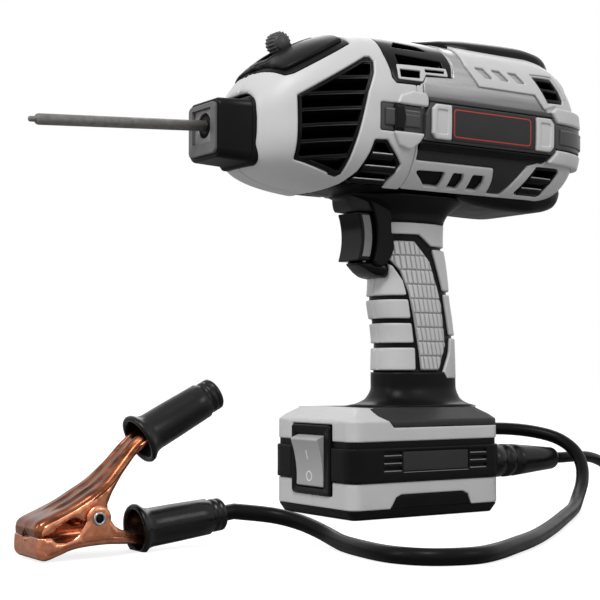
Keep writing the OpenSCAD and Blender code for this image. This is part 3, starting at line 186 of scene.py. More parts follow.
PALE = moulded("pale_plastic", 0.80, 0.38, 1500, 0.00004, specular=0.35)
BLACK = moulded("black_plastic", 0.06, 0.36, 1300, 0.00004, 0.006, 0.09)
GLOSS = moulded("gloss_black", 0.04, 0.2, 700, 0.000006, 0.004, 0.13, spread=0.03)
GREY = moulded("grey_plastic", 0.27, 0.36, 1300, 0.00005, 0.01, 0.2)
DEEP = moulded("deep_grey_plastic", 0.19, 0.4, 1300, 0.00005, 0.008, 0.15)
# A grey darker than the pale plastic, for the bed under the grip tiles: painted shade in the grooves between
# them.
GROOVE_SHADE_BED = moulded("bed_painted_groove_shade", 0.64, 0.40, 1500, 0.00004, 0.01, 0.3)
# A light grey for the trigger inlays and the chuck, also used for painted highlight strips on the band and
# the base.
GREY_TRIM_AND_HIGHLIGHT = moulded("grey_trim_and_painted_highlight", 0.52, 0.40, 1500, 0.00004, 0.01, 0.3)
FACE_GREY = moulded("face_plastic", 0.40, 0.40, 1300, 0.00004, 0.01, 0.2)
RUBBER = moulded("black_rubber", 0.06, 0.27, 1600, 0.00003, 0.008, 0.2)
CORD = moulded("cord_rubber", 0.05, 0.34, 1100, 0.00003, 0.006, 0.08)
ROCKER = moulded("rocker_plastic", 0.68, 0.38, 1500, 0.00004, 0.01, 0.35)
MARKS = moulded("mark_paint", 0.93, 0.45, 1500, 0.00002, 0.006)
RED = moulded("red_line", (0.72, 0.16, 0.11), 0.4, 1500, 0.00002, 0.01)
# A light, partly metallic grey used only for painted highlights along the vent blades.
HIGHLIGHT_PAINT = moulded("painted_highlight_grey", 0.72, 0.30, 1500, 0.00002, 0.01, Metallic=0.4)
BOARD = moulded("board_green", (0.08, 0.27, 0.14), 0.35, 600, 0.00003)
COIL = moulded("winding", (0.60, 0.42, 0.16), 0.4, 500, 0.0001)
# The silver flanks carry painted shade and light: dimmer towards their bottom and brighter at their top.
SILVER = (Finish("silver_paint", 0.60, 0.3, Metallic=0.6)
    .worn(60, 0.06, (0.3, 4, 4)).relief(500, 0.00002, 3.0, (0.08, 2, 2))
    .spotted(0.56, 0.66, 90, 4.0, (0.15, 3, 3)).painted_shade_by_height(0.2475, 0.262, (0.34, 1.12))).material
STEEL = (Finish("steel", (0.62, 0.62, 0.63), 0.28, Metallic=1.0)
    .worn(60, 0.08).relief(900, 0.00001, 2.0, (1, 12, 12))).material
METAL = (Finish("aluminium", (0.55, 0.56, 0.57), 0.42, Metallic=1.0)
    .worn(80, 0.08).relief(800, 0.00002, 2.0, (1, 10, 1))).material
SHEET = (Finish("copper_sheet", (0.74, 0.42, 0.29), 0.26, Metallic=1.0)
    .spotted((0.72, 0.45, 0.33), (0.84, 0.56, 0.43), 300)
    .worn(60, 0.08, (0.3, 2, 2)).relief(600, 0.000006, 3.0, (0.2, 4, 4))).material
# Painted reflections: a darker copy of the copper, streaked dark and light, stands in for dark surroundings
# reflected on the upper jaw's web.
SHEET_PAINTED_REFLECTIONS = (Finish("copper_painted_reflections", (0.50, 0.30, 0.21), 0.2, Metallic=1.0)
    .spotted((0.30, 0.16, 0.11), (0.60, 0.37, 0.26), 120, stretch=(0.5, 2, 2))
    .worn(60, 0.08, (0.3, 2, 2)).relief(600, 0.000006, 3.0, (0.2, 4, 4))).material
ROD = (Finish("electrode_coating", (0.42, 0.415, 0.41), 0.55)
    .spotted((0.38, 0.375, 0.37), (0.47, 0.465, 0.455), 300)
    .worn(200, 0.08).relief(700, 0.00008, 4.0).relief(160, 0.00006)).material


# ---- Meshes, as (points in millimetres, faces) -------------------------------------------
def merged(*meshes):
    """Several meshes as one."""
    points, faces, base = [], [], 0
    for p, f in meshes:
        points.append(np.asarray(p, float))
        faces += [tuple(int(i) + base for i in face) for face in f]
        base += len(p)
    return np.concatenate(points), faces


def area(p):
    """The signed area of an outline, above 0 where it runs counter-clockwise."""
    return np.sum(p[:, 0] * np.roll(p[:, 1], -1) - np.roll(p[:, 0], -1) * p[:, 1]) / 2


def ccw(p):
    """An outline that runs counter-clockwise."""
    p = np.asarray(p, float)
    return p if area(p) > 0 else p[::-1]


def flipped(mesh):
    """The same mesh on the other side of the body."""
    points, faces = mesh
    return np.asarray(points) * (1, -1, 1), [tuple(reversed(f)) for f in faces]


def above(mesh, low):
    """A mesh flattened where it would pass under a height."""
    return np.maximum(mesh[0], (-np.inf, -np.inf, low)), mesh[1]


def both(mesh):
    """A mesh together with its mirrored twin."""
    return merged(mesh, flipped(mesh))


def piece(name, mesh, material, nodes=(), body="gun", bevel=None, segments=3,
    smooth=True):
    """A mesh as a piece of the scene, with its material, on its body, in place of the nodes."""
    points, faces = mesh
    data = bpy.data.meshes.new(name)
    data.from_pydata((np.asarray(points) * MM).tolist(), [], [tuple(int(i) for i in f) for f in faces])
    data.validate()
    data.materials.append(material)
    data.polygons.foreach_set("use_smooth", [smooth] * len(data.polygons))
    obj = bpy.data.objects.new(name, data)
    scene.collection.objects.link(obj)
    if bevel:
        edge = obj.modifiers.new("edges", "BEVEL")
        edge.width = bevel * MM
        edge.segments = segments
        edge.limit_method = "ANGLE"
        edge.angle_limit = math.radians(32)
        edge.harden_normals = True
    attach(obj, body)
    if nodes:
        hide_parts(*nodes)
    return obj


def twins(name, mesh, material, node):
    """A left piece and its mirrored twin. SIDE in the two names becomes left or right."""
    for side, shape in (("left", mesh), ("right", flipped(mesh))):
        piece(name.replace("SIDE", side), shape, material, [node.replace("SIDE", side)])


def rings_mesh(rings, caps=True):
    """A skin through closed rings of equal length."""
    rings = np.asarray(rings, float)
    n, m = rings.shape[:2]
    faces = []
    for i in range(n - 1):
        for j in range(m):
            a, b = i * m + j, i * m + (j + 1) % m
            faces.append((a, b, b + m, a + m))
    if caps:
        faces.append(tuple(range(m - 1, -1, -1)))
        faces.append(tuple(range((n - 1) * m, n * m)))
    return rings.reshape(-1, 3), faces


def axes(direction):
    """Two unit vectors across a direction, and the direction itself as one."""
    d = np.asarray(direction, float)
    d = d / np.linalg.norm(d)
    side = np.cross(d, (0, 0, 1)) if abs(d[2]) < 0.9 else np.cross(d, (0, 1, 0))
    side = side / np.linalg.norm(side)
    return side, np.cross(side, d), d


def revolve(profile, at, direction, sides=64, scallop=None):
    """A turned solid: profile is (radius, distance along the axis)."""
    side, up, d = axes(direction)
    turn = np.linspace(0, 2 * np.pi, sides, endpoint=False)
    rings = []
    for r, t in profile:
        radii = r * np.ones(sides) + (scallop(turn, t) if scallop else 0)
        round_axis = np.cos(turn)[:, None] * side + np.sin(turn)[:, None] * up
        rings.append(np.asarray(at) + t * d + radii[:, None] * round_axis)
    return rings_mesh(np.array(rings)[:, ::-1])


def smoothed(points, steps):
    """Catmull-Rom points through the given ones."""
    p = np.asarray(points, float)
    out = []
    for i in range(len(p) - 1):
        a, b, c, d = p[max(0, i - 1)], p[i], p[i + 1], p[min(len(p) - 1, i + 2)]
        for k in range(steps):
            t = k / steps
            out.append(0.5 * (2 * b + t * (c - a) + t * t * (2 * a - 5 * b + 4 * c - d)
                + t ** 3 * (3 * b - a - 3 * c + d)))
    return np.array(out + [p[-1]])


def prism(points, y0, y1):
    """A side outline [x, z] carried across from y0 to y1."""
    p = ccw(points)
    n = len(p)
    low, high = np.insert(p, 1, y0, axis=1), np.insert(p, 1, y1, axis=1)
    faces = [tuple(range(n)), tuple(range(2 * n - 1, n - 1, -1))]
    faces += [((i + 1) % n, i, n + i, n + (i + 1) % n) for i in range(n)]
    return np.concatenate([low, high]), faces


def rounded_rect(w, h, r, steps=6, at=(0, 0)):
    """The outline of a rectangle with round corners."""
    out = []
    x, y = w / 2 - r, h / 2 - r
    for cx, cy, a0 in ((x, y, 0), (-x, y, 90), (-x, -y, 180), (x, -y, 270)):
        for k in range(steps + 1):
            a = math.radians(a0 + 90 * k / steps)
            out.append((at[0] + cx + r * math.cos(a), at[1] + cy + r * math.sin(a)))
    return np.array(out)


def softened(points, radius, steps=5, least=12):
    """A closed outline with its corners rounded."""
    p = [np.asarray(q, float) for q in points]
    n = len(p)
    out = []
    for i in range(n):
        before, here, after = p[i - 1], p[i], p[(i + 1) % n]
        a, b = before - here, after - here
        la, lb = np.linalg.norm(a), np.linalg.norm(b)
        if la < 1e-6 or lb < 1e-6:
            continue
        a, b = a / la, b / lb
        inner = math.acos(max(-1, min(1, float(a @ b))))
        if math.degrees(math.pi - inner) < least:
            out.append(here)
            continue
        reach = min(radius / math.tan(inner / 2), 0.45 * la, 0.45 * lb)
        start, end = here + a * reach, here + b * reach
        for k in range(steps + 1):
            t = k / steps
            out.append((1 - t) ** 2 * start + 2 * t * (1 - t) * here + t * t * end)
    return np.array(out)


def dense(points, step):
    """A closed outline with points no further apart than the step."""
    p = np.asarray(points, float)
    out = []
    for a, b in zip(p, np.roll(p, -1, axis=0)):
        n = max(1, int(math.ceil(np.linalg.norm(b - a) / step)))
        out += [a + (b - a) * k / n for k in range(n)]
    return np.array(out)


def inside(points, loops):
    """Whether each point is inside the loops, by the even-odd rule."""
    x, y = points[:, 0][:, None], points[:, 1][:, None]
    odd = np.zeros(len(points), bool)
    for loop in loops:
        a, b = loop, np.roll(loop, -1, axis=0)
        for part in range(0, len(a), 400):
            ax, ay, bx, by = a[part:part + 400, 0], a[part:part + 400, 1], b[part:part + 400,
                0], b[part:part + 400, 1]
            cross = (ay > y) != (by > y)
            at = ax + (y - ay) * (bx - ax) / np.where(by == ay, 1e-12, by - ay)
            odd ^= (np.sum(cross & (x < at), axis=1) % 2).astype(bool)
    return odd


def triangulated(points, edges):
    """Points and triangles of a flat set of points that keeps the edges."""
    out = delaunay_2d_cdt([Vector(p) for p in points], edges, [], 0, 1e-6)
    return np.array([tuple(v) for v in out[0]]), np.array(out[2])


def ring_edges(loops):
    """The edges of several closed loops whose points follow one another."""
    edges, base = [], 0
    for loop in loops:
        edges += [(base + i, base + (i + 1) % len(loop)) for i in range(len(loop))]
        base += len(loop)
    return edges


def border(triangles):
    """The directed edges that have a triangle on one side only."""
    seen = dict.fromkeys(e for a, b, c in triangles for e in ((a, b), (b, c), (c, a)))
    return [e for e in seen if (e[1], e[0]) not in seen]


def carve(include, remove=(), radius=0.0):
    """Loops round what lies in any of include and in none of remove."""
    loops = [np.asarray(p, float) for p in list(include) + list(remove)]
    points, triangles = triangulated(np.concatenate(loops), ring_edges(loops))
    middle = points[triangles].mean(axis=1)
    keep = np.zeros(len(triangles), bool)
    for p in include:
        keep |= inside(middle, [np.asarray(p, float)])
    for p in remove:
        keep &= ~inside(middle, [np.asarray(p, float)])
    after = {}
    for a, b in border(triangles[keep]):
        after.setdefault(a, []).append(b)
    out = []
    while after:
        start = next(iter(after))
        loop, here = [], start
        while here in after:
            loop.append(here)
            following = after[here]
            step = following.pop()
            if not following:
                del after[here]
            here = step
            if here == start:
                break
        if len(loop) > 2:
            out.append(straightened(points[loop]))
    if radius:
        out = [softened(p, radius) for p in out]
    return out


def straightened(p):
    """Drops points on a straight run."""
    keep = []
    for i in range(len(p)):
        a, b = p[i] - p[i - 1], p[(i + 1) % len(p)] - p[i]
        la, lb = np.linalg.norm(a), np.linalg.norm(b)
        if la > 1e-4 and abs(a[0] * b[1] - a[1] * b[0]) > 1e-4 * la * max(lb, 1e-6):
            keep.append(p[i])
    return np.array(keep)


def offset(points, by):
    """An outline moved inward by the distance, for one drawn either way round."""
    p = np.asarray(points, float)
    sign = 1 if area(p) > 0 else -1
    out = []
    for i in range(len(p)):
        a, b = p[i] - p[i - 1], p[(i + 1) % len(p)] - p[i]
        a, b = a / np.linalg.norm(a), b / np.linalg.norm(b)
        na, nb = np.array([-a[1], a[0]]), np.array([-b[1], b[0]])
        m = na + nb
        out.append(p[i] + sign * by * m / max(0.3, float(m @ m) / 2))
    return np.array(out)


# ---- Curved skins ------------------------------------------------------------------------
SQUARENESS = 2.8
BODY_FRONT, BODY_REAR, NOSE_LEN, TAIL_LEN = -109.0, 131.0, 99.0, 46.0
BODY_TOP, BODY_BOTTOM = 290.5, 190.0
NOSE_HALF, BODY_HALF, TAIL_HALF = 21, 49, 28
BODY_FULL, TAIL_START = BODY_FRONT + NOSE_LEN, BODY_REAR - TAIL_LEN


def along(x, nose, full, tail, e):
    """A measure of the body at x: it swells from the nose to full and shrinks again over the tail."""
    x = np.asarray(x, float)
    t = np.clip((x - BODY_FRONT) / NOSE_LEN, 0, 1)
    s = np.clip((x - TAIL_START) / TAIL_LEN, 0, 1)
    return np.where(x < BODY_FULL, nose + (full - nose) * (1 - (1 - t) ** 2.6) ** e,
        tail + (full - tail) * (1 - s ** 2.2) ** 0.55)


def half_w(x):
    """The body's half width at a place along x."""
    return along(x, NOSE_HALF, BODY_HALF, TAIL_HALF, 0.64)


def top_z(x):
    """The height of the body's top at a place along x."""
    return along(x, BODY_TOP - 43.5, BODY_TOP, BODY_TOP - 32.5, 0.82)


def bottom_z(x):
    """The height of the body's bottom at a place along x."""
    return along(x, BODY_BOTTOM + 17, BODY_BOTTOM, BODY_BOTTOM + 25, 0.46)


def surface_z(x, y):
    """The height of the body's upper skin over a point."""
    t, b = top_z(x), bottom_z(x)
    f = np.clip(1 - np.minimum(1, np.abs(y) / half_w(x)) ** SQUARENESS, 0, 1)
    return (t + b) / 2 + (t - b) / 2 * f ** (1 / SQUARENESS)


def squared_off(c, s, w, h, power):
    """How far a rounded-off rectangle of the half sizes w and h reaches in the direction (c, s)."""
    return ((np.abs(c) / w) ** power + (np.abs(s) / h) ** power) ** (-1 / power)


class Body:
    """The body's outer skin: u runs from nose to tail and over the end, v turns from the side to the top."""
    seam = math.pi / 2
    xs = BODY_FRONT + (BODY_REAR - BODY_FRONT) * (1 - np.cos(np.linspace(0, np.pi, 6001))) / 2
    us = np.concatenate([[0], np.cumsum(np.hypot(np.diff(xs), np.diff(half_w(xs))))])
    end = us[-1]
    cap = 26.6

    def section(self, u):
        """Where u lies: x, how far over the end, the half width, the middle's height and the half height."""
        x = np.interp(u, self.us, self.xs)
        over = np.clip((u - self.end) / self.cap, 0, 1)
        t, b = top_z(x), bottom_z(x)
        return x, over, half_w(x), (t + b) / 2, (t - b) / 2

    def point(self, u, v):
        x, over, w, m, h = self.section(u)
        c, s = np.cos(v), np.sin(v)
        r = squared_off(c, s, w, h, SQUARENESS) * (1 - 0.95 * over)
        return np.stack([x + over, -r * c, m + r * s], -1)

    def girth(self, u):
        x, over, w, m, h = self.section(u)
        return (w + h) / 2 * (1 - 0.95 * over)

    def side(self, xz):
        x, z = xz[:, 0], xz[:, 1]
        px = np.clip(x, BODY_FRONT, BODY_REAR)
        t, b, w = top_z(px), bottom_z(px), half_w(px)
        m, h = (t + b) / 2, (t - b) / 2
        zn = np.clip((z - m) / h, -1, 1)
        full = w * (1 - np.abs(zn) ** SQUARENESS) ** (1 / SQUARENESS)
        y = np.clip(full - np.clip(x - BODY_REAR, 0, None), 0, None)
        v = np.arctan2(zn * h, np.maximum(y, 1e-9))
        r = squared_off(np.cos(v), np.sin(v), w, h, SQUARENESS)
        over = np.clip((1 - np.hypot(y, zn * h) / r) / 0.95, 0, 1)
        u = np.where(x > BODY_REAR, self.end + over * self.cap, np.interp(px, self.xs, self.us))
        return np.stack([u, v], -1)


def monotone(xs, ys, at):
    """A smooth curve through the rows that doesn't overshoot them."""
    d = np.diff(ys) / np.diff(xs)
    inner = np.where(d[1:] * d[:-1] > 0, 2 * d[1:] * d[:-1] / (d[1:] + d[:-1] + 1e-12), 0)
    m = np.concatenate([[d[0]], inner, [d[-1]]])
    k = np.clip(np.searchsorted(xs, at) - 1, 0, len(xs) - 2)
    h = xs[k + 1] - xs[k]
    t = (at - xs[k]) / h
    return ((1 + 2 * t) * (1 - t) ** 2 * ys[k] + t * (1 - t) ** 2 * h * m[k]
        + t * t * (3 - 2 * t) * ys[k + 1] + t * t * (t - 1) * h * m[k + 1])


GRIP_BOTTOM, GRIP_TOP = 64.4, 195.0
GRIP_ROWS = np.array([
    # height above the base, front, back, half width
    (0, -25, 62, 30), (1.5, -17, 56, 26), (5, -10.5, 51, 21.5), (12, -7.5, 48.8, 19), (22, -7.5, 48.5, 19),
    (31, -7.2, 48.2, 19), (40, -7, 47.8, 19), (50, -8, 46.5, 19), (58, -9.5, 45.2, 19),
    (65, -10.5, 43.8, 19), (78, -9.5, 42.4, 19), (90, -11.4, 40.6, 19), (101.6, -13, 38.4, 19),
    (113, -13.8, 39, 19), (118.6, -15, 42, 19), (123.6, -24, 48, 22), (129.1, -40, 58, 28)])
GRIP_HEIGHTS = np.linspace(0, GRIP_ROWS[-1, 0], 800)
GRIP_CURVES = [monotone(GRIP_ROWS[:, 0], GRIP_ROWS[:, k], GRIP_HEIGHTS) for k in (1, 2, 3)]
GRIP_SQUARENESS = 2.6
PAD_T = 1.6


class Grip:
    """The grip's outer skin: u is the height, v turns from the back over the left side to the front."""

    def section(self, u):
        dz = np.asarray(u, float) - GRIP_BOTTOM
        f, b, w = (np.interp(dz, GRIP_HEIGHTS, curve) for curve in GRIP_CURVES)
        return (f + b) / 2, (b - f) / 2, w

    def point(self, u, v):
        c, a, w = self.section(u)
        cs, sn = np.cos(v), np.sin(v)
        r = squared_off(cs, sn, a, w, GRIP_SQUARENESS)
        return np.stack([c + r * cs, -r * sn, np.asarray(u, float) + 0 * r], -1)

    def girth(self, u):
        c, a, w = self.section(u)
        return (a + w) / 2

    def side(self, xz):
        x, z = xz[:, 0], xz[:, 1]
        c, a, w = self.section(z)
        n = np.clip((x - c) / a, -1, 1)
        y = w * (1 - np.abs(n) ** GRIP_SQUARENESS) ** (1 / GRIP_SQUARENESS)
        return np.stack([z, np.arctan2(y, n * a)], -1)


BODY, GRIP = Body(), Grip()


LEAST_STEP = 0.12


def slopes(skin, u, v):
    """How the skin's point moves with u and with v."""
    e, g = 0.02, 0.0005
    along_u = (skin.point(u + e, v) - skin.point(u - e, v)) / (2 * e)
    return along_u, (skin.point(u, v + g) - skin.point(u, v - g)) / (2 * g)


def normals(skin, u, v):
    """Unit vectors out of the skin."""
    su, sv = slopes(skin, u, v)
    n = np.cross(su, sv)
    return n / np.maximum(np.linalg.norm(n, axis=-1, keepdims=True), 1e-9)


def flattened(skin, uv):
    """Skin coordinates with both axes in millimetres."""
    return np.stack([uv[:, 0], uv[:, 1] * skin.girth(uv[:, 0])], -1)


def laid(skin, loop, step=0.9, wrap=None):
    """A side outline as dense skin coordinates. With wrap it is carried over that seam to the other side."""
    uv = skin.side(dense(loop, step))
    if wrap is not None:
        away = np.abs(uv[:, 1] - wrap) > 1e-4
        start = next(i for i in range(len(uv)) if away[i] and not away[i - 1])
        uv, away = np.roll(uv, -start, axis=0), np.roll(away, -start)
        if not away.all():
            uv = uv[:int(np.argmin(away))]
        other = uv[::-1].copy()
        other[:, 1] = 2 * wrap - other[:, 1]
        uv = np.concatenate([uv, other])
    flat = flattened(skin, uv)
    keep = [0]
    for i in range(1, len(uv)):
        if np.linalg.norm(flat[i] - flat[keep[-1]]) > LEAST_STEP:
            keep.append(i)
    if np.linalg.norm(flat[keep[-1]] - flat[0]) < LEAST_STEP:
        keep.pop()
    return uv[keep]


class Edges:
    """Distances in space to a set of closed loops."""

    def __init__(self, loops):
        self.points = np.concatenate(loops)
        base = np.cumsum([0] + [len(p) for p in loops])[:-1]
        self.neighbours = [
            np.concatenate([b + (np.arange(len(p)) + way) % len(p) for b, p in zip(base, loops)])
            for way in (1, -1)]
        self.tree = KDTree(len(self.points))
        for i, p in enumerate(self.points):
            self.tree.insert(p, i)
        self.tree.balance()

    def distance(self, points):
        near = np.array([self.tree.find(p)[1] for p in points])
        best = np.full(len(points), 1e9)
        for other in self.neighbours:
            a, b = self.points[near], self.points[other[near]]
            t = np.sum((points - a) * (b - a), -1) / np.maximum(np.sum((b - a) ** 2, -1), 1e-12)
            t = np.clip(t, 0, 1)
            best = np.minimum(best, np.linalg.norm(points - a - t[:, None] * (b - a), axis=-1))
        return best


def rim_points(skin, laps, rings, edges, reaches):
    """Skin coordinates on lines that run along the outlines, some way inside them."""
    out = []
    for lap, points in zip(laps, rings):
        t = np.roll(points, -1, axis=0) - np.roll(points, 1, axis=0)
        t /= np.maximum(np.linalg.norm(t, axis=-1, keepdims=True), 1e-9)
        su, sv = slopes(skin, lap[:, 0], lap[:, 1])
        inward = np.cross(normals(skin, lap[:, 0], lap[:, 1]), t)
        a, b, c = np.sum(su * su, -1), np.sum(su * sv, -1), np.sum(sv * sv, -1)
        p, q = np.sum(su * inward, -1), np.sum(sv * inward, -1)
        det = np.maximum(a * c - b * b, 1e-9)
        step = np.stack([(p * c - q * b) / det, (q * a - p * b) / det], -1)
        for d in reaches:
            uv = lap + d * step
            out.append(uv[edges.distance(skin.point(uv[:, 0], uv[:, 1])) > 0.86 * d])
    return out


def grid_points(skin, low, high, cell):
    """A staggered grid of skin coordinates with about the cell's spacing."""
    rows = []
    for i, u in enumerate(np.arange(low[0], high[0], cell)):
        size = cell / max(3.0, float(skin.girth(np.array([u]))[0]))
        v = np.arange(low[1] + (i % 2) * size / 2, high[1], size)
        rows.append(np.stack([np.full(len(v), u), v], -1))
    return np.concatenate(rows)


def panel(skin, loops, depth=0.0, wall=2.4, rim=0.7, cell=2.4, step=0.9, wrap=None):
    """A curved plate on a skin, with a rounded rim round its outline and its holes.

    Depth is how far its face lies under the skin and wall how far its back does.
    """
    laps = []
    for k, loop in enumerate(loops):
        uv = laid(skin, loop, step, wrap)
        hole = k > 0 and area(np.asarray(loop)) < 0
        laps.append(uv[::-1] if (area(flattened(skin, uv)) > 0) == hole else uv)
    rings = [skin.point(p[:, 0], p[:, 1]) for p in laps]
    edges = Edges(rings)
    flats = [flattened(skin, p) for p in laps]
    reaches = (0.12 * rim, 0.4 * rim, 0.75 * rim, 1.08 * rim, rim + 0.55 * cell)
    extra = rim_points(skin, laps, rings, edges, reaches)
    every = np.concatenate(laps)
    grid = grid_points(skin, every.min(axis=0), every.max(axis=0), cell)
    grid = grid[inside(flattened(skin, grid), flats)]
    if len(grid):
        grid = grid[edges.distance(skin.point(grid[:, 0], grid[:, 1])) > rim + 0.95 * cell]
    extra.append(grid)
    extra = np.concatenate(extra)
    flat = flattened(skin, extra)
    flat = flat[inside(flat, flats)]
    points, triangles = triangulated(np.concatenate(flats + [flat]), ring_edges(flats))
    triangles = triangles[inside(points[triangles].mean(axis=1), flats)]
    used = np.unique(triangles)
    renumber = np.full(len(points), -1)
    renumber[used] = np.arange(len(used))
    points, triangles = points[used], renumber[triangles]
    u = points[:, 0]
    v = points[:, 1] / skin.girth(u)
    base, normal = skin.point(u, v), normals(skin, u, v)
    near = edges.distance(base)
    drop = np.where(near < rim, rim - np.sqrt(np.clip(rim ** 2 - (rim - near) ** 2, 0, None)), 0)
    top = base - normal * (depth + drop)[:, None]
    under = base - normal * np.maximum(wall, depth + rim + 0.1)
    n = len(top)
    faces = [tuple(t) for t in triangles] + [(c + n, b + n, a + n) for a, b, c in triangles]
    faces += [(b, a, a + n, b + n) for a, b in border(triangles)]
    return np.concatenate([top, under]), faces


# ---- Side outlines, as [x, z] ------------------------------------------------------------
BAND_Z = 234.5
SEAM = 0.35


def rect(x0, z0, x1, z1):
    return np.array([(x0, z0), (x1, z0), (x1, z1), (x0, z1)], float)


GRILLE = [
    (-91, 243), (-48, 269.5), (-44.5, 270), (-42.5, 267), (-43.5, 260), (-48, 248), (-51.5, 234), (-56, 216),
    (-59, 201), (-62, 198.5), (-90.5, 206.5)]
FRONT_PANEL = [(-99.5, 259.5), (-95, 255), (-90.5, 256.3), (-52.5, 278.3), (-52, 320), (-99.5, 320)]
TOP_VENT = [
    (-34.5, 320), (-34.5, 272), (-32, 262), (-31.5, 258), (-28.5, 255), (-11, 255.5), (-8.5, 258),
    (-6.5, 261.5), (14.5, 263), (16.5, 272), (12, 320)]
TOP_CELLS = [
    [(-25.5, 279), (2, 279), (-4, 282.5), (-20, 283.5)],
    [(-25.5, 274), (9, 273.2), (9.5, 268.5), (-25.2, 267)],
    [(-25.2, 264.2), (-9.5, 264.8), (-10.5, 259.8), (-25.2, 259.2)],
    [(-6, 266.3), (9.5, 267), (9, 265), (-6.3, 264.2)]]
LOW_VENT = [(-43.5, 220.5), (-34.5, 221), (-21.5, 207.5), (-27.5, 194.5), (-57, 194), (-50, 202),
    (-45.5, 213)]
PLATE = [
    (-12, 217.5), (88, 217.5), (96, 225), (97, 242.5), (92, 249), (-7, 248.5), (-7, 243), (-12, 240),
    (-12, 226)]
STRIP_FRONT = rect(-40, BAND_Z - 8, -11, BAND_Z + 8)
STRIP_REAR = rect(95, BAND_Z - 8, 160, BAND_Z + 8)
RAIL = [(86, 217.5), (88, 217.5), (96, 225), (97, 242.5), (92, 249.5), (96, 252.5), (160, 252.5),
    (160, 217.5)]
DARK_PANEL = [(-12, 217.8), (86, 217.8), (76, 214.5), (64, 196.5), (52.5, 196.5), (51, 204.5), (49, 211),
    (-12, 211)]
SIDE_CELLS = [
    [(-11, 205.5), (13, 206), (13, 197.5), (2, 197.5)],
    [(19, 206), (27.5, 206), (28.5, 202), (27.5, 197.5), (19, 197.5)],
    [(34.5, 206), (44, 206), (45, 202), (43.5, 197.5), (34.5, 197.5)]]
REAR_LOW = [(84, 214.5), (104, 215), (106, 213), (97, 199), (94, 197.5), (75, 197.5), (74, 199)]
REAR_HIGH = [(82, 272.5), (101.5, 273.5), (107, 265), (109, 259.5), (107.5, 257), (92, 256)]
REAR_HIGH_CELLS = [
    [(85.5, 270.3), (100.3, 270.8), (103, 266), (88.2, 265.7)],
    [(89.5, 263.6), (103.8, 263.8), (105, 259.5), (92, 258.8)]]
RIDGE = [(27, 320), (27, 272.5), (35, 259.7), (81, 259.7), (88, 251), (97, 254), (110, 260), (116, 272),
    (112, 320)]
SLOTS = [[(x, 272.2), (x + 8, 272.2), (x + 14, 265.8), (x + 7, 265.8)] for x in (33.5, 47, 60.5)]
COLLAR = [
    (-18.5, 251), (-8.5, 250.8), (-6.6, 248.3), (-6.6, 244), (-9.7, 238), (-9.7, 225), (-12.5, 221),
    (-18, 216.8), (-21, 216.8), (-27, 218.5), (-31, 225), (-31, 240.5), (-27, 247.7)]
FRONT_COVER = [
    (-140, 100), (-70, 100), (-67, 190), (-59, 193.5), (-50, 199), (-44, 206), (-37, 194.8), (-14, 194.8),
    (-14, 320), (-140, 320)]
BAND = [STRIP_FRONT, PLATE, STRIP_REAR]


# ---- Cords -------------------------------------------------------------------------------
LEAD_D, CORD_D = 8.0, 7.0
CLAMP_Y = -83.0
LOWER_BOOT_AT, LOWER_BOOT_TILT = (-216.0, 10.0), math.radians(6)
UPPER_BOOT_AT, UPPER_BOOT_TILT = (-214.5, 53.0), math.radians(27.7)
BOOT_L = 48.0
LEAD_START = (62.5, 5, 47)
LEAD_POINTS = [
    (71, 5, 47), (90, 1, 48.4), (107, -11, 47), (118, -25, 43), (121, -38, 36), (118.5, -48, 27),
    (110, -57, 17), (96, -67, 8.5), (80, -80, 4.5), (58, -98, 4), (33, -118, 4), (4, -141, 4),
    (-26, -163.5, 4), (-48, -178.5, 4), (-69, -190.5, 4), (-88, -201, 4), (-105, -207.5, 4),
    (-118, -206.5, 4), (-129.6, -200.6, 4), (-136.5, -190.5, 4), (-139, -178, 4), (-137.5, -160, 4),
    (-133.5, -140, 4), (-131, -126, 5.5), (-131.5, -115, 8), (-134.5, -101.5, 11), (-143, -90.5, 13.6)]
CORD_START = (112.5, -28, 30)
CORD_POINTS = [
    (122, -28, 30), (138, -26, 30), (154, -22, 28.5), (172, -15, 24), (190, -6, 17), (208, 3, 10),
    (226, 11, 5.5), (246, 18, 3.6), (264, 20.8, 3.5)]
TAIL_POINTS = [(273, -67.6, 25.4), (258, -69.5, 23.5), (243, -74, 21.2), (233, -81, 19.4), (229, -91, 18.3)]
PLUG_AT = (229, -103, 18.3)
COIL_TURNS, COIL_R, COIL_PITCH, COIL_LAYERS = 6.5, 38.0, 7.6, 4
LAYER_TURNS = COIL_TURNS / COIL_LAYERS
COIL_OUT = COIL_R + COIL_PITCH * LAYER_TURNS / 2
COIL_IN = COIL_OUT - COIL_PITCH * LAYER_TURNS
COIL_AT, COIL_STEPS, CLIMB = (285, -23), 36, 0.25


def boot_axis(t):
    """A point on the lower boot's axis, t from its front."""
    return (LOWER_BOOT_AT[0] + t * math.cos(LOWER_BOOT_TILT), CLAMP_Y,
        LOWER_BOOT_AT[1] + t * math.sin(LOWER_BOOT_TILT))


def coil_point(u):
    """The coil's middle line after u turns: its layers run outward and inward by turns."""
    layer = min(COIL_LAYERS - 1, int(u // LAYER_TURNS))
    f = u - layer * LAYER_TURNS
    r = COIL_OUT - COIL_PITCH * f if layer % 2 == 0 else COIL_IN + COIL_PITCH * f
    ease = [min(1, max(0, (u - k * LAYER_TURNS) / 2 / CLIMB + 0.5)) for k in (1, 2, 3)]
    z = CORD_D / 2 + COIL_PITCH * sum(c * c * (3 - 2 * c) for c in ease)
    return (COIL_AT[0] + r * math.sin(2 * math.pi * u), COIL_AT[1] + r * math.cos(2 * math.pi * u), z)


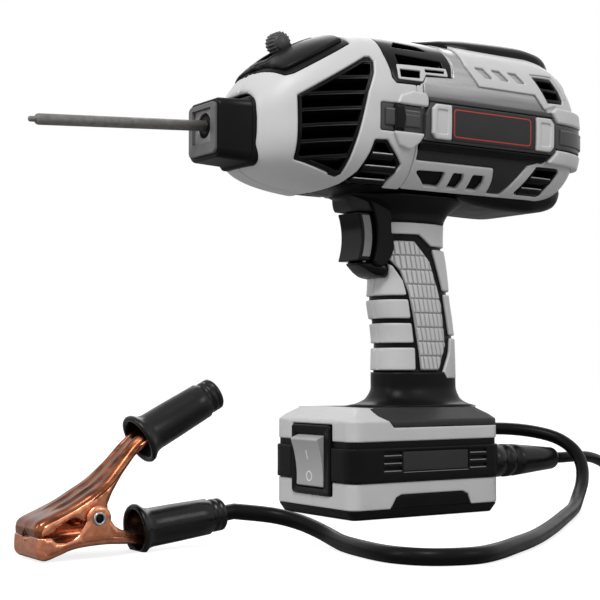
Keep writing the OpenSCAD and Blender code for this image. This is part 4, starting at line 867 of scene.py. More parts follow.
def cord(name, path, diameter, nodes, body="gun"):
    """A round tube along a path, as a piece of the scene."""
    curve = bpy.data.curves.new(name, "CURVE")
    curve.dimensions = "3D"
    curve.bevel_depth = diameter / 2 * MM
    curve.bevel_resolution = 6
    curve.use_fill_caps = True
    spline = curve.splines.new("POLY")
    spline.points.add(len(path) - 1)
    for point, at in zip(spline.points, path):
        point.co = (*(np.asarray(at) * MM), 1)
    curve.materials.append(CORD)
    obj = bpy.data.objects.new(name, curve)
    scene.collection.objects.link(obj)
    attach(obj, body)
    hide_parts(*nodes)
    return obj


lead_path = np.concatenate([
    [LEAD_START], smoothed(LEAD_POINTS + [boot_axis(BOOT_L + LEAD_D)], 4), [boot_axis(BOOT_L)]])
lead = cord("ground_lead_cord", lead_path, LEAD_D, ["ground_lead"])
coil_path = [coil_point(k / COIL_STEPS) for k in range(int(COIL_TURNS * COIL_STEPS) + 1)]
mains_path = np.concatenate([
    [CORD_START], smoothed(CORD_POINTS + [coil_point(0)], 4)[:-1], coil_path,
    smoothed([coil_point(COIL_TURNS)] + TAIL_POINTS, 4)[1:], [PLUG_AT]])
mains = cord("mains_cord_tube", mains_path, CORD_D, ["mains_cord", "mains_coil"])


# ---- Body covers -------------------------------------------------------------------------
REAR_COVER = rect(-14 + SEAM, 195.3, 160, 320)
BELOW, ABOVE = rect(-80, 100, 200, BAND_Z), rect(-80, BAND_Z, 200, 400)
BRUSHED = [(-9.2, 248), (-9.2, 257), (-8, 259), (-6.2, 262), (14.9, 263.4), (17.0, 272), (12.5, 320),
    (80, 320), (80, 263), (91, 249)]


def grouped(loops):
    """Loops sorted into outlines, each with its own holes."""
    outer = [[p] for p in loops if area(p) > 0]
    for p in loops:
        if area(p) <= 0:
            for group in outer:
                if inside(p[:1] + 1e-3, [group[0]])[0]:
                    group.append(p)
                    break
    return outer


def plates(loops, skin=BODY, **kw):
    """One plate for each outline."""
    return merged(*[panel(skin, group, **kw) for group in grouped(loops)])


round_band = [offset(p, -SEAM) for p in BAND]
front_loops = carve([FRONT_COVER], [GRILLE, FRONT_PANEL, TOP_VENT, LOW_VENT] + round_band, 1.6)
twins("front_cover_SIDE", panel(BODY, front_loops, rim=1.0), PALE, "front_shell_SIDE")
rear_holes = [TOP_VENT, DARK_PANEL, REAR_LOW, REAR_HIGH] + SIDE_CELLS + round_band
ridge = plates(carve([RIDGE], SLOTS + [offset(REAR_HIGH, -1.0)], 0.8), depth=-1.0, wall=0.4, rim=0.7,
    cell=3.0)
rail_top, rail_low = (
    plates(carve([RAIL], round_band + [half], 1.6), depth=-3.8, wall=0.4, rim=1.4, cell=3.0)
    for half in (BELOW, ABOVE))
rear_top = plates(carve([REAR_COVER], rear_holes + [BELOW, BRUSHED], 1.2), rim=0.8)
rear_low = plates(carve([REAR_COVER], rear_holes + [ABOVE], 1.4), rim=0.9)
brushed = plates(carve([offset(BRUSHED, 0.35)], [TOP_VENT, offset(PLATE, -SEAM)], 0.8), depth=0.3, rim=0.5)
twins("rear_cover_SIDE", merged(rear_top, ridge, rail_top), PALE, "rear_shell_SIDE")
twins("rear_sill_trim_SIDE", merged(rear_low, rail_low), PALE, "rear_sill_SIDE")
piece("brushed_flanks", both(brushed), SILVER)

mesh = panel(BODY, [offset(softened(FRONT_PANEL, 1.5), 0.3)], depth=0.5, rim=0.8, wrap=BODY.seam)
piece("nose_top_panel", mesh, BLACK, ["front_panel"])
KNOB_SLOT = (-91.4, -64.6)
SLOT_HALF, SLOT_EDGE = 6.2, 3.2


def slot_outline(grow, steps):
    """The knob's slot as a side outline that is open at the top. Its lower edge runs on the skin."""
    start, end = KNOB_SLOT[0] - grow, KNOB_SLOT[1] + grow
    lower = [(x, float(surface_z(x, SLOT_HALF + grow))) for x in np.linspace(start, end, steps)]
    return lower + [(end, 330), (start, 330)]


slot_in, slot_out = slot_outline(0, 15), slot_outline(SLOT_EDGE, 17)
plateau = carve([offset(ccw(FRONT_PANEL), 3.2)], [slot_in], 0.8)
piece("nose_plateau", both(plates(plateau, depth=-1.5, wall=1.2, rim=1.6)), BLACK)
frame_ring = carve([slot_out], [slot_in], 1.2)
piece("slider_surround", both(plates(frame_ring, depth=-1.9, wall=0.4, rim=0.8)), BLACK, ["slider_frame"])

# ---- Housing, seen in the gaps -------------------------------------------------------------
openings = [offset(GRILLE, 0.3), offset(LOW_VENT, 1.3), offset(TOP_VENT, 1.3), offset(REAR_LOW, 1.3),
    offset(REAR_HIGH, 1.3)]
housing = plates(carve([rect(-140, 100, 160, 320)], openings), depth=2.5, wall=4.7, rim=0.3, cell=3.2)
twins("housing_skin_SIDE", housing, BLACK, "housing_SIDE")

PADS_START, PADS_END = GRIP_BOTTOM + 21, GRIP_TOP - 17.5
CORE_TOP = GRIP_TOP - 1.6
NECK_Z, NECK_X, NECK_HALF = 184, (-40, -8), (12, 28)
POCKET_LOW, POCKET_HIGH, POCKET_HALF, POCKET_BACK = 152.2, 183.8, 12.6, -8.2
turn = np.linspace(0, 2 * np.pi, 97)[:-1]
core = []
heights = np.concatenate([
    np.linspace(GRIP_BOTTOM, PADS_START, 16), np.linspace(PADS_START + 0.05, CORE_TOP, 70)])
for height in heights:
    u = np.full(len(turn), height)
    ring = GRIP.point(u, turn)
    widest = np.where(ring[:, 2] > NECK_Z, np.interp(ring[:, 0], NECK_X, NECK_HALF), 99)
    ring[:, 1] = np.clip(ring[:, 1], -widest, widest)
    if PADS_START < height < PADS_END:
        ring -= normals(GRIP, u, turn) * (PAD_T + 0.1)
    pocket = (ring[:, 2] > POCKET_LOW) & (ring[:, 2] < POCKET_HIGH) & (np.abs(ring[:, 1]) < POCKET_HALF)
    ring[:, 0] = np.where(pocket, np.maximum(ring[:, 0], POCKET_BACK), ring[:, 0])
    core.append(ring)
piece("grip_core", rings_mesh(np.array(core)[:, ::-1]), BLACK)


def x_ring(x, wide, tall, radius, z, steps=8):
    """A rounded rectangle that stands across the x axis."""
    return [(x, q[0], q[1]) for q in rounded_rect(wide, tall, radius, steps, (0, z))]


BELLY = np.array([
    (34, 193.5, 33), (44, 191.6, 32), (53, 190.2, 31), (72, 188.7, 30.5), (94, 188.2, 30), (110, 190, 28.5),
    (120, 192.4, 26), (126, 195, 22.5), (129.5, 198.5, 17)])
BELLY_TOP = 212.0
belly = []
for x in np.linspace(34, 129.5, 60):
    low, half = (monotone(BELLY[:, 0], BELLY[:, k], x) for k in (1, 2))
    belly.append(x_ring(x, 2 * half, BELLY_TOP - low, 9.0, (BELLY_TOP + low) / 2))
piece("rear_belly", rings_mesh(belly), BLACK)

# ---- Grilles and vents ---------------------------------------------------------------------
LOUVRES, LOUVRE_PITCH, LOUVRE_SLOPE = 8, 9.0, math.tan(math.radians(6))
LOUVRE_X, LOUVRE_LOW = -66, 201


def blade(z_at, x0, x1, front=0.9, reach=11.0, thick=2.2, lean=-0.55, steps=40):
    """A louvre blade that follows the skin: it starts under the surface and runs inward and downward."""
    xs = np.linspace(x0, x1, steps)
    z = z_at(xs)
    uv = BODY.side(np.stack([xs, z], -1))
    base = BODY.point(uv[:, 0], uv[:, 1])
    t, sunk = thick / 2, lean * (reach - front)
    section = [
        (front + 0.5, -t), (front, -t * 0.5), (front, t * 0.5), (front + 0.5, t), (reach, t + sunk),
        (reach, -t + sunk)]
    rings = [[(b[0], b[1] + d, b[2] + h) for d, h in section] for b in base]
    return rings_mesh(np.array(rings))


def crossings(outline, z_at):
    """The spans of x in which a line lies inside an outline."""
    xs = np.linspace(-110, 130, 1200)
    hit = inside(np.stack([xs, z_at(xs)], -1), [np.asarray(outline, float)])
    spans, start = [], None
    for x, h in zip(xs, hit):
        if h and start is None:
            start = x
        if not h and start is not None:
            spans.append((start, x))
            start = None
    return spans


def across(outline, places, least=3):
    """The parts of the lines that lie inside an outline, as (line, start, end)."""
    return [(z, a, b) for z in places for a, b in crossings(outline, z) if b - a > least]


def blades(outline, places, **kw):
    """Louvre blades along all the lines inside an outline."""
    return [blade(z, a, b, **kw) for z, a, b in across(outline, places)]


def insert(outline, cells, **kw):
    """A plate that fills an opening, with its own openings."""
    outer = softened(ccw(offset(outline, 0.35)), 1.2)
    return panel(BODY, [outer] + [softened(ccw(c)[::-1], 0.7) for c in cells], **kw)


def line(z_at, x0, x1, out=0.35, tall=0.5, fade=0.0, steps=40):
    """A painted highlight: a fine light strip along a louvre blade that stands in for the light its edge
    catches.
    """
    xs = np.linspace(x0, x1, steps)
    uv = BODY.side(np.stack([xs, z_at(xs)], -1))
    base = BODY.point(uv[:, 0], uv[:, 1])
    section = [(out + 1.2, -tall), (out, -tall * 0.6), (out, tall * 0.6), (out + 1.2, tall)]
    slim = 1 - fade * (1 - np.linspace(0, 1, steps)) ** 0.8
    return rings_mesh([[(b[0], b[1] + d, b[2] + h * k) for d, h in section] for b, k in zip(base, slim)])


def lines(outline, places, lift=0.0, **kw):
    """Painted highlight strips along all the lines inside an outline, lifted off them."""
    return [line(lambda x, z=z: z(x) + lift, a, b, **kw) for z, a, b in across(outline, places)]


def level(z):
    """A line across the side at one height."""
    return lambda x: z + 0 * x


louvre_lines = [
    lambda x, k=k: LOUVRE_LOW + k * LOUVRE_PITCH + (x - LOUVRE_X) * LOUVRE_SLOPE for k in range(LOUVRES)]
grille = merged(*blades(offset(GRILLE, 0.8), louvre_lines[1:]),
    *blades(offset(GRILLE, 0.8), louvre_lines[:1], reach=4.0))
twins("grille_blades_SIDE", grille, GLOSS, "grille_SIDE")
mesh = insert(GRILLE, [offset(ccw(GRILLE), 2.4)], depth=0.8, wall=6.2, rim=0.7)
piece("grille_rims", both(mesh), GLOSS)
# A black plate deep behind each grille stands in for the shade inside the body, so the grilles don't show
# through.
mesh = panel(BODY, [offset(ccw(GRILLE), -2.5)], depth=12.0, wall=13.0, rim=0.2, cell=4)
piece("grille_screens", both(mesh), BLACK)
# Painted highlights: thin grey strips along the grille blades' edges, tapering from right to left, stand in
# for the light they catch.
mesh = merged(*lines(offset(GRILLE, 2.6), louvre_lines, -0.9, out=0.8, fade=0.85))
piece("grille_edges", both(mesh), GREY)

mesh = insert(TOP_VENT, TOP_CELLS, depth=0.6, wall=4.7, rim=0.6)
piece("top_vent_inserts", both(mesh), GLOSS, ["upper_vents"])
LATTICE = [(-27, 257.7), (-27, 266.9), (-25.2, 267.1), (9.5, 268.6), (11.0, 268.4), (11.3, 263.4),
    (-5.8, 262.8), (-8.8, 258)]
mesh = panel(BODY, [softened(ccw(LATTICE), 1.0)] + [softened(ccw(c)[::-1], 0.6) for c in TOP_CELLS[2:]],
    depth=0.1, wall=1.4, rim=0.45)
piece("top_vent_bars", both(mesh), PALE)
low_lines = [level(z) for z in (220.5, 212.2, 205.2, 198.2)]
mesh = merged(insert(LOW_VENT, [offset(ccw(LOW_VENT), 2.2)], depth=1.6, wall=4.7, rim=0.6),
    *blades(offset(LOW_VENT, 1.6), low_lines[:-1], thick=3.0, reach=8),
    *blades(offset(LOW_VENT, 1.6), low_lines[-1:], thick=3.0, reach=2.4))
piece("low_vent_inserts", both(mesh), GLOSS, ["lower_vents"])
rear_lines = [level(z) for z in (213.8, 207.6, 201.2)]
mesh = merged(insert(REAR_LOW, [offset(ccw(REAR_LOW), 2.0)], depth=0.6, wall=4.7, rim=0.6),
    insert(REAR_HIGH, REAR_HIGH_CELLS, depth=0.6, wall=4.7, rim=0.6),
    *blades(offset(REAR_LOW, 1.6), rear_lines, thick=3.0, reach=8))
piece("rear_vent_inserts", both(mesh), BLACK, ["rear_vents"])
# Painted highlights: thin light strips along the vent blades' front edges stand in for the light they catch.
mesh = merged(*lines(offset(LOW_VENT, 2.4), low_lines[1:], 0.9, out=0.6, tall=0.45),
    *lines(offset(REAR_LOW, 2.4), rear_lines[1:], 0.9, out=0.6, tall=0.45))
piece("vent_painted_highlights", both(mesh), HIGHLIGHT_PAINT)

# ---- Side band -----------------------------------------------------------------------------
mesh = panel(BODY, [offset(ccw(DARK_PANEL), 0.35)], depth=1.2, wall=2.4, rim=0.4)
piece("side_panel_skins", both(mesh), DEEP, ["side_panels"])
PLATE_SPLITS = [rect(-14, 245.6, 99, 246.1), rect(-14, 222.3, 99, 222.8)]
PLATE_FOOT = rect(-14, 215, 99, 222.5)
plate_main = carve([PLATE], [offset(COLLAR, -0.4), PLATE_FOOT] + PLATE_SPLITS, 0.8)
plate_foot = carve([PLATE], [offset(COLLAR, -0.4), rect(-14, 222.8, 99, 300)], 0.8)
band = merged(
    panel(BODY, [ccw(rect(-40, 226.6, 130, 242.4))], depth=0.4, wall=2.4, rim=0.4),
    plates(plate_main, depth=-2.4, wall=1.0, rim=0.6),
    panel(BODY, [softened(rect(-37.4, 229.6, -12, 239.6), 0.6)], depth=-0.7, wall=0.6, rim=0.5),
    panel(BODY, [ccw(rect(95, 226.8, 160, 242.2))], depth=-3.0, wall=1.0, rim=0.6),
    panel(BODY, [softened(rect(98.5, 229.6, 129, 239.4), 0.6)], depth=-3.9, wall=-1.0, rim=0.5))
twins("band_SIDE_skin", band, GREY, "band_SIDE")
# Painted highlights: thin light grey strips along the band's raised rib and its edges.
band_highlight_strips = [rect(-36.6, 238.7, -25, 239.15), rect(-23, 238.7, -12.8, 239.15),
    rect(-23, 236.4, -12.8, 236.7), rect(99.4, 238.4, 127, 238.8)]
mesh = merged(*[
    panel(BODY, [q], depth=-0.85 if q[0][0] < 0 else -4.05, wall=0.2, rim=0.1) for q in band_highlight_strips])
piece("band_highlights", both(mesh), GREY_TRIM_AND_HIGHLIGHT)
BAND_END = [(-31.2, 226.7), (-31.2, 242.3), (-24.6, 242.3), (-23.2, 234.5), (-24.6, 226.7)]
# The plate's lower strip is black gloss under the grey plate: painted shade on its lower bevel. The band's
# end block beside it is a black part of its own.
mesh = merged(plates(plate_foot, depth=-1.7, wall=1.0, rim=1.2),
    panel(BODY, [softened(BAND_END, 0.8)], depth=-2.0, wall=0.1, rim=1.4))
piece("band_edges", both(mesh), GLOSS)
LABEL = rect(10, 224.5, 77, 244.9)
mesh = panel(BODY, [softened(LABEL, 1.5)], depth=-3.3, wall=-2.3, rim=0.3)
piece("label_blank", both(mesh), DEEP, ["label_plates"])
line_out, line_in = softened(rect(11.2, 226.2, 73.7, 243), 2.6), softened(rect(11.9, 226.9, 73, 242.3), 2.1)
mesh = panel(BODY, [line_out, line_in[::-1]], depth=-3.36, wall=-3.2, rim=0.05, step=0.6)
piece("label_outline", both(mesh), RED)
BRACKET_L, BRACKET_HALF, CHAMFER = 14.6, 10.2, 3.0
brackets = []
for x, way in ((9, -1), (78, 1)):
    end, cut = x + BRACKET_L * way, x + (BRACKET_L - CHAMFER) * way
    p = np.array([
        (x, BRACKET_HALF), (cut, BRACKET_HALF), (end, BRACKET_HALF - CHAMFER), (end, CHAMFER - BRACKET_HALF),
        (cut, -BRACKET_HALF), (x, -BRACKET_HALF)]) + (0, BAND_Z)
    hole = softened(ccw(offset(p, 3.4)), 0.8)
    brackets.append(panel(BODY, [softened(ccw(p), 1.0), hole[::-1]], depth=-4.6, wall=-2.3, rim=0.9))
    brackets.append(panel(BODY, [ccw(offset(p, 3.2))], depth=-3.8, wall=-2.3, rim=0.2))
piece("label_brackets", both(merged(*brackets)), PALE, ["brackets"])
collar = plates(carve([COLLAR], [rect(-60, 226.5, 0, 242.5)], 1.2), depth=-2.0, wall=0.1, rim=1.2)
piece("side_collars", both(collar), PALE, ["collars"])

# ---- Top cover -----------------------------------------------------------------------------
HUMP = np.array([(10, 12, 0.8), (17, 18, 2.4), (26, 22.5, 4.6), (46, 25, 7.2), (76, 25.5, 8.6), (98, 25.5, 9),
    (107, 24, 10.2), (113, 21, 9), (118, 16, 5.5)])
HUMP_SKIRT = 4.5
hump = []
for x in np.linspace(10, 118, 90):
    half, crown = (monotone(HUMP[:, 0], HUMP[:, k], x) for k in (1, 2))
    half += HUMP_SKIRT
    a = np.linspace(0, np.pi, 41)
    y = -half * np.cos(a)
    z = surface_z(x, y) + 0.3 + crown * np.sin(a).clip(0, 1) ** 0.42
    back = y[::-1][1:-1]
    hump.append([(x, *q) for q in zip(y, z)] + [(x, *q) for q in zip(back, surface_z(x, back) - 1.0)])
piece("top_cover_shell", rings_mesh(hump), GLOSS, ["top_cover"])

# ---- Nose ----------------------------------------------------------------------------------
NOSE_FACE, NOSE_Z, MOUTH_UP = -133.0, 223.9, 2


def x_tube(outer, inner, z, inner_z):
    """A sleeve along x through rows of (x, width, height, radius), its skins joined at both ends."""
    rows = [x_ring(*row, z) for row in outer] + [x_ring(*row, inner_z) for row in inner[::-1]]
    return rings_mesh(rows + rows[:1], caps=False)


block = x_tube(
    [(-131, 33, 32.4, 4.2), (-130.4, 34.2, 33.6, 4.8), (-129.4, 35, 34.4, 5), (-110.2, 36.3, 36.2, 5.4),
        (-110.0, 37.2, 37.0, 5.6), (-109.8, 40.0, 39.2, 6.8), (-109.2, 41.2, 40.4, 7.4),
        (-106.4, 41.2, 40.4, 7.4), (-105.8, 40.0, 39.4, 6.8), (-105.4, 38.8, 38.6, 6), (-96, 38.8, 38.6, 6)],
    [(-131, 21.8, 20.8, 0.6), (-96, 21.8, 20.8, 0.6)], NOSE_Z, NOSE_Z + MOUTH_UP)
piece("nose_sleeve", block, BLACK, ["nose_block"])
face = x_tube([(-133, 29, 28.4, 2.6), (-132.6, 30, 29.4, 3), (-131.1, 30, 29.4, 3)],
    [(-133, 20.8, 19.8, 0.5), (-130.9, 20.6, 19.6, 0.5)], NOSE_Z, NOSE_Z + MOUTH_UP)
piece("nose_face_plate", face, FACE_GREY, ["nose_plate"], smooth=False)


def to_circle(points, radius, centre):
    """The points of a rounded rectangle drawn in to a circle."""
    d = points - centre
    return centre + d / np.linalg.norm(d, axis=1)[:, None] * radius


CHUCK_EDGE = dense(rounded_rect(21.2, 20.2, 0.8, 4, (0, NOSE_Z + MOUTH_UP)), 1.2)
CHUCK_Z = 226.5


def chuck_ring(x, scale=1.0, radius=None):
    """The chuck's section at x: its square edge scaled, or a circle."""
    centre = np.array([0, CHUCK_Z])
    ring = to_circle(CHUCK_EDGE, radius, centre) if radius else centre + (CHUCK_EDGE - centre) * scale
    return [(x, q[0], q[1]) for q in ring]


chuck = [chuck_ring(-131.0, 0.95), chuck_ring(-130.4), chuck_ring(-118), chuck_ring(-118, radius=6.4),
    chuck_ring(-130.6, radius=7.2), chuck_ring(-131.0, radius=7.5)]
piece("chuck_body", rings_mesh(np.array(chuck + chuck[:1]), caps=False), GREY_TRIM_AND_HIGHLIGHT, ["chuck_block"],
    smooth=False)
# A black ring fills the chuck's bore round the rod: painted shade for the dark inside of the bore.
throat = revolve([(3.5, 0), (7.0, 0), (7.0, 9), (3.5, 9)], (-130.4, 0, CHUCK_Z), (1, 0, 0), 40)
piece("chuck_bore_shade", throat, BLACK)
ROD_Z, ROD_TILT, ROD_IN = 226.4, math.radians(3.6), 25.0
rod_dir = (-math.cos(ROD_TILT), 0, -math.sin(ROD_TILT))
rod_at = np.array([NOSE_FACE, 0, ROD_Z]) - ROD_IN * np.array(rod_dir)
rod = revolve([(0.01, 0), (3.1, 0), (3.1, 124), (2.9, 125.2), (2.4, 125.9), (1.6, 126), (1.55, 126.1),
    (1.55, 129.2), (1.2, 129.9), (0.01, 130)], rod_at, rod_dir, 48)
piece("electrode_rod", rod, ROD, ["electrode"], "rod")

# ---- Slider --------------------------------------------------------------------------------
SLOPE, KNOB_X, KNOB_MOVE = math.radians(30.68), -82.4, 5
knob_base = np.array([KNOB_X, 0, float(top_z(KNOB_X))])
knob_at = knob_base + KNOB_MOVE * np.array([
    math.cos(SLOPE) - math.sin(SLOPE), 0, math.sin(SLOPE) + math.cos(SLOPE)])
knob = revolve([(0.01, -5.5), (4.4, -5.5), (4.8, -5.1), (4.8, -4.6), (5.6, -4.6), (6.5, -3.7), (6.5, 3.7),
    (5.6, 4.6), (4.8, 4.6), (4.8, 5.1), (4.4, 5.5), (0.01, 5.5)], knob_at, (0, 1, 0), 216,
    lambda a, t: (0.3 * np.tanh(2.0 * np.cos(18 * a)) if abs(t) < 4.3 else 0))
piece("slider_wheel", knob, GREY, ["slider_knob"], "slider")

# ---- Trigger -------------------------------------------------------------------------------
TRIGGER_Z, TRIGGER_R = 168.0, 42.0


def bowed(x, heights):
    """A side line that runs parallel to the trigger's hollow front."""
    return [(x - TRIGGER_R + math.sqrt(TRIGGER_R ** 2 - (z - TRIGGER_Z) ** 2), z) for z in heights]


trigger = prism([(-15, 153.3)] + bowed(-27.2, np.linspace(153.3, 182.7, 25)) + [(-15, 182.7)], -11, 11)
piece("trigger_key", trigger, GLOSS, ["trigger"], body="trigger_body", bevel=1.2, segments=5)
rise = np.linspace(155.6, 181, 21)
inlay = prism(bowed(-25.2, rise) + bowed(-19.6, rise)[::-1], -11.35, -10.4)
piece("trigger_inlay_pair", both(inlay), GREY_TRIM_AND_HIGHLIGHT, ["trigger_inlays"], "trigger_body",
    bevel=0.3)
tall = np.linspace(153, 190.5, 25)
swoop = [(-4.8, 190.5), (-4.8, 164), (-5.6, 159.5), (-7.4, 155.8), (-10, 152.4), (-13.2, 150.4),
    (-16.6, 149.9), (-18.8, 150.9)]
walls = prism(bowed(-17.4, tall) + swoop, -14.7, -11.7)
piece("trigger_cheeks", both(walls), BLACK, bevel=1.4, segments=5)


def bridged(rows):
    """Rounded rectangles along x: rows are (x, low, high, width, radius)."""
    return rings_mesh([
        x_ring(x, w, b - a, min(r, (b - a) / 2 - 0.01, w / 2 - 0.01), (a + b) / 2, 6)
        for x, a, b, w, r in rows])


lip = bridged([(-36.4, 189.4, 193.6, 14, 1.6), (-35.6, 187.4, 194, 17, 2.2), (-34.2, 184.6, 195, 19.6, 2.4),
    (-33, 183.5, 196, 21, 2.4), (-24, 183.2, 197, 24, 2.8), (-8, 183.2, 197, 29, 3)])
piece("upper_lip", lip, DEEP)
chin = bridged([(-27.5, 151.2, 152.0, 10, 0.35), (-26, 150.4, 152.2, 13, 0.8), (-23, 148.8, 152.5, 17, 1.6),
    (-19.5, 146.6, 152.7, 21, 2.6), (-15, 144.4, 152.8, 25, 3.8), (-12, 143.6, 152.9, 26.5, 4.4),
    (-9, 143.2, 153, 27, 4.6)])
piece("chin_lip", chin, GLOSS)

# ---- Grip pads -----------------------------------------------------------------------------
def pz(dz):
    """A height above the grip's bottom."""
    return GRIP_BOTTOM + dz


def pad(outline, soft=1.4, rim=0.9, wrap=None):
    """A raised pad on the grip."""
    loops = [ccw(softened(outline, soft))]
    return panel(GRIP, loops, depth=-0.2, wall=1.6, rim=rim, cell=1.6, step=0.6, wrap=wrap)


FINGERS = [
    [(-40, pz(22.2)), (8.4, pz(22.2)), (8, pz(36)), (-40, pz(36))],
    [(-40, pz(39)), (7.3, pz(39)), (5.6, pz(51)), (-40, pz(51))],
    [(-40, pz(54)), (5, pz(54)), (3, pz(65.6)), (-40, pz(65.6))],
    [(-40, pz(68.2)), (2.2, pz(68.2)), (0, pz(77)), (-6, pz(86)), (-9.5, pz(88)), (-11.5, pz(86)),
    (-13, pz(83)), (-40, pz(83))]]
PANEL = [(-9.5, pz(101.5)), (7.5, pz(101.5)), (19, pz(90)), (25, pz(75)), (29, pz(63)), (32, pz(37.5)),
    (26.5, pz(22.2)), (12.4, pz(22.2)), (11, pz(34)), (7.3, pz(54)), (3.5, pz(70)), (-1.8, pz(83)),
    (-9.5, pz(91.5))]
BACKS = [[(21.5, pz(97)), (70, pz(97)), (70, pz(71.5)), (31, pz(71.5))],
    [(31.8, pz(69.5)), (70, pz(69.5)), (70, pz(44)), (36.8, pz(44))],
    [(37.2, pz(42.2)), (70, pz(42.2)), (70, pz(17)), (33, pz(17)), (30, pz(21)), (36, pz(33))]]
YOKE = [(-9.5, GRIP_TOP - 17.7), (70, GRIP_TOP - 17.7), (70, GRIP_TOP - 31.6), (20.5, GRIP_TOP - 31.6),
    (11, GRIP_TOP - 24.8), (-9.5, GRIP_TOP - 24.8)]
piece("finger_pad_skins", merged(*[both(pad(p)) for p in FINGERS]), PALE, ["finger_pads"])

ROWS, ROW_START, ROW_H, RIB, SLANT = 9, 22.2, 8.81, 3.35, 0.2
ROW_GAP, RIB_GAP, LEAST_TILE = 0.42, 0.36, 2.5
row_z = [pz(ROW_START + k * ROW_H) for k in range(ROWS + 1)]
grid = [rect(-20, z - ROW_GAP, 40, z + ROW_GAP) for z in row_z[1:-1]]
for k, (low, high) in enumerate(zip(row_z, row_z[1:])):
    for x in np.arange(-16 + (ROWS - k) * 0.9, 46, RIB):
        top = x - SLANT * ROW_H
        grid.append([(x - RIB_GAP, low), (x + RIB_GAP, low), (top + RIB_GAP, high), (top - RIB_GAP, high)])
inner_panel = offset(ccw(softened(PANEL, 1.6)), 0.5)
tiles = [p for p in carve([inner_panel], grid) if abs(area(p)) > LEAST_TILE]
# The bed shows in the grooves between the tiles in a darker grey, as painted shade.
mesh = panel(GRIP, [ccw(softened(PANEL, 1.6))], depth=0.8, wall=1.6, rim=0.4, cell=2.4)
piece("grip_panel_beds", both(mesh), GROOVE_SHADE_BED)
texture = merged(*[
    panel(GRIP, [ccw(softened(p, 0.4, 3))], depth=-0.1, wall=1.1, rim=0.6, cell=3.0, step=1.6)
    for p in tiles])
piece("grip_panel_skins", both(texture), PALE, ["grip_panels"])
piece("back_pad_skins", merged(*[pad(p, wrap=0.0) for p in BACKS]), PALE, ["back_pads"])
piece("yoke_skin", pad(YOKE, 1.0, 0.8, 0.0), PALE, ["grip_yoke"])

# ---- Base ----------------------------------------------------------------------------------
BASE_L, BASE_W, BASE_R, BASE_H = 113.0, 82.0, 7.0, GRIP_BOTTOM


def slab(rows):
    """Rounded rectangles stacked in z: rows are (z, inset)."""
    return rings_mesh([
        [(p[0], p[1], z) for p in rounded_rect(BASE_L - 2 * i, BASE_W - 2 * i, max(1.0, BASE_R - i), 8)]
        for z, i in rows])


class Wall:
    """The base's outer wall: u runs from the front's middle to the rear's, v up the wall and over."""
    half_l, half_w, radius = BASE_L / 2, BASE_W / 2, BASE_R
    ends = np.cumsum([0, BASE_W / 2 - BASE_R, math.pi * BASE_R / 2, BASE_L - 2 * BASE_R, math.pi * BASE_R / 2,
        BASE_W / 2 - BASE_R])
    rows = np.array([(-10, -10, 0), (0, 0, 0), (57, 57, 0), (70.26, BASE_H, 11), (92, BASE_H, 32.7)])

    def point(self, u, v):
        z, i = np.interp(v, self.rows[:, 0], self.rows[:, 1]), np.interp(v, self.rows[:, 0], self.rows[:, 2])
        r, l, w = np.maximum(2.5, self.radius - i), self.half_l - i, self.half_w - i
        t = [np.clip((u - a) / (b - a), 0, 1) for a, b in zip(self.ends, self.ends[1:])]
        x = -l + r * (1 - np.cos(t[1] * np.pi / 2)) + t[2] * 2 * (l - r) + r * np.sin(t[3] * np.pi / 2)
        y = (w - r) * (t[4] - t[0]) - r * np.sin(t[1] * np.pi / 2) + r * (1 - np.cos(t[3] * np.pi / 2))
        past = u - np.clip(u, 0, self.ends[-1])
        return np.stack([x, y + np.abs(past), z], -1)

    def girth(self, u):
        return np.ones_like(np.asarray(u, float))

    def side(self, uv):
        return np.asarray(uv, float)


WALL = Wall()
DECK_HALF, DECK_LOW, DECK_HIGH = 30.2, 62.5, 64.35
AROUND = float(Wall.ends[-1])
SIDE_START, SIDE_HALF = 45.0, BASE_L / 2 - BASE_R


def at_side(x):
    """The place along the wall of a point on the base's long side."""
    return SIDE_START + x + SIDE_HALF


def wall(loops, **kw):
    """Plates on the base's wall, on both sides of the gun."""
    return both(plates(loops, WALL, cell=3.0, step=1.2, **kw))


def deck_plate(x0, x1):
    """A flat plate on top of the base."""
    corners = [(x0, -DECK_HALF), (x1, -DECK_HALF), (x1, DECK_HALF), (x0, DECK_HALF)]
    return rings_mesh([[(x, y, z) for x, y in corners] for z in (DECK_LOW, DECK_HIGH)])


FOOT_NOTCH = [
    (-29, -5), (-29, 5.7), (-27, 8.4), (-24.5, 12.4), (-20.5, 14), (26, 14), (30.4, 12), (32.2, 7.5),
    (33, 5.7), (33, -5)]
foot_notch = [(at_side(x), z) for x, z in FOOT_NOTCH]
SWITCH = rect(-30, 12.8, 20.9, 54.8)
lower_loops = carve([rect(0, 5.9, AROUND, 21.2)], [foot_notch, SWITCH], 0.8)
piece("base_lower_cover", wall(lower_loops, rim=0.8, wall=2.5), PALE, ["base_lower"])
piece("foot_insets", wall([ccw(offset(foot_notch, 0.2)[1:-1])], depth=0.5, rim=0.6, wall=3), BLACK)
RECESS = rect(at_side(-20), 27.3, at_side(30), 39.3)


def side_bars(half_l, half_h, heights):
    """Short bars in front of and behind the recess."""
    return [
        rect(at_side(x) - half_l, z - half_h, at_side(x) + half_l, z + half_h)
        for x in (-27.6, 37.6) for z in heights]


band_loops = carve([rect(0, 21.6, AROUND, 41.4)], [SWITCH, RECESS] + side_bars(6.4, 1.15, (28.8, 33.3, 37.8)),
    0.5)
mesh = merged(wall(band_loops, depth=-1.0, rim=0.9, wall=1.0),
    wall([rect(20, 22, AROUND, 41)], depth=0.4, wall=2.5, rim=0.2))
piece("base_band_cover", mesh, BLACK, ["base_band"])
piece("base_label_blanks", wall([softened(offset(RECESS, 0.3), 0.5)], depth=-0.5, rim=0.3, wall=1.0), DEEP)
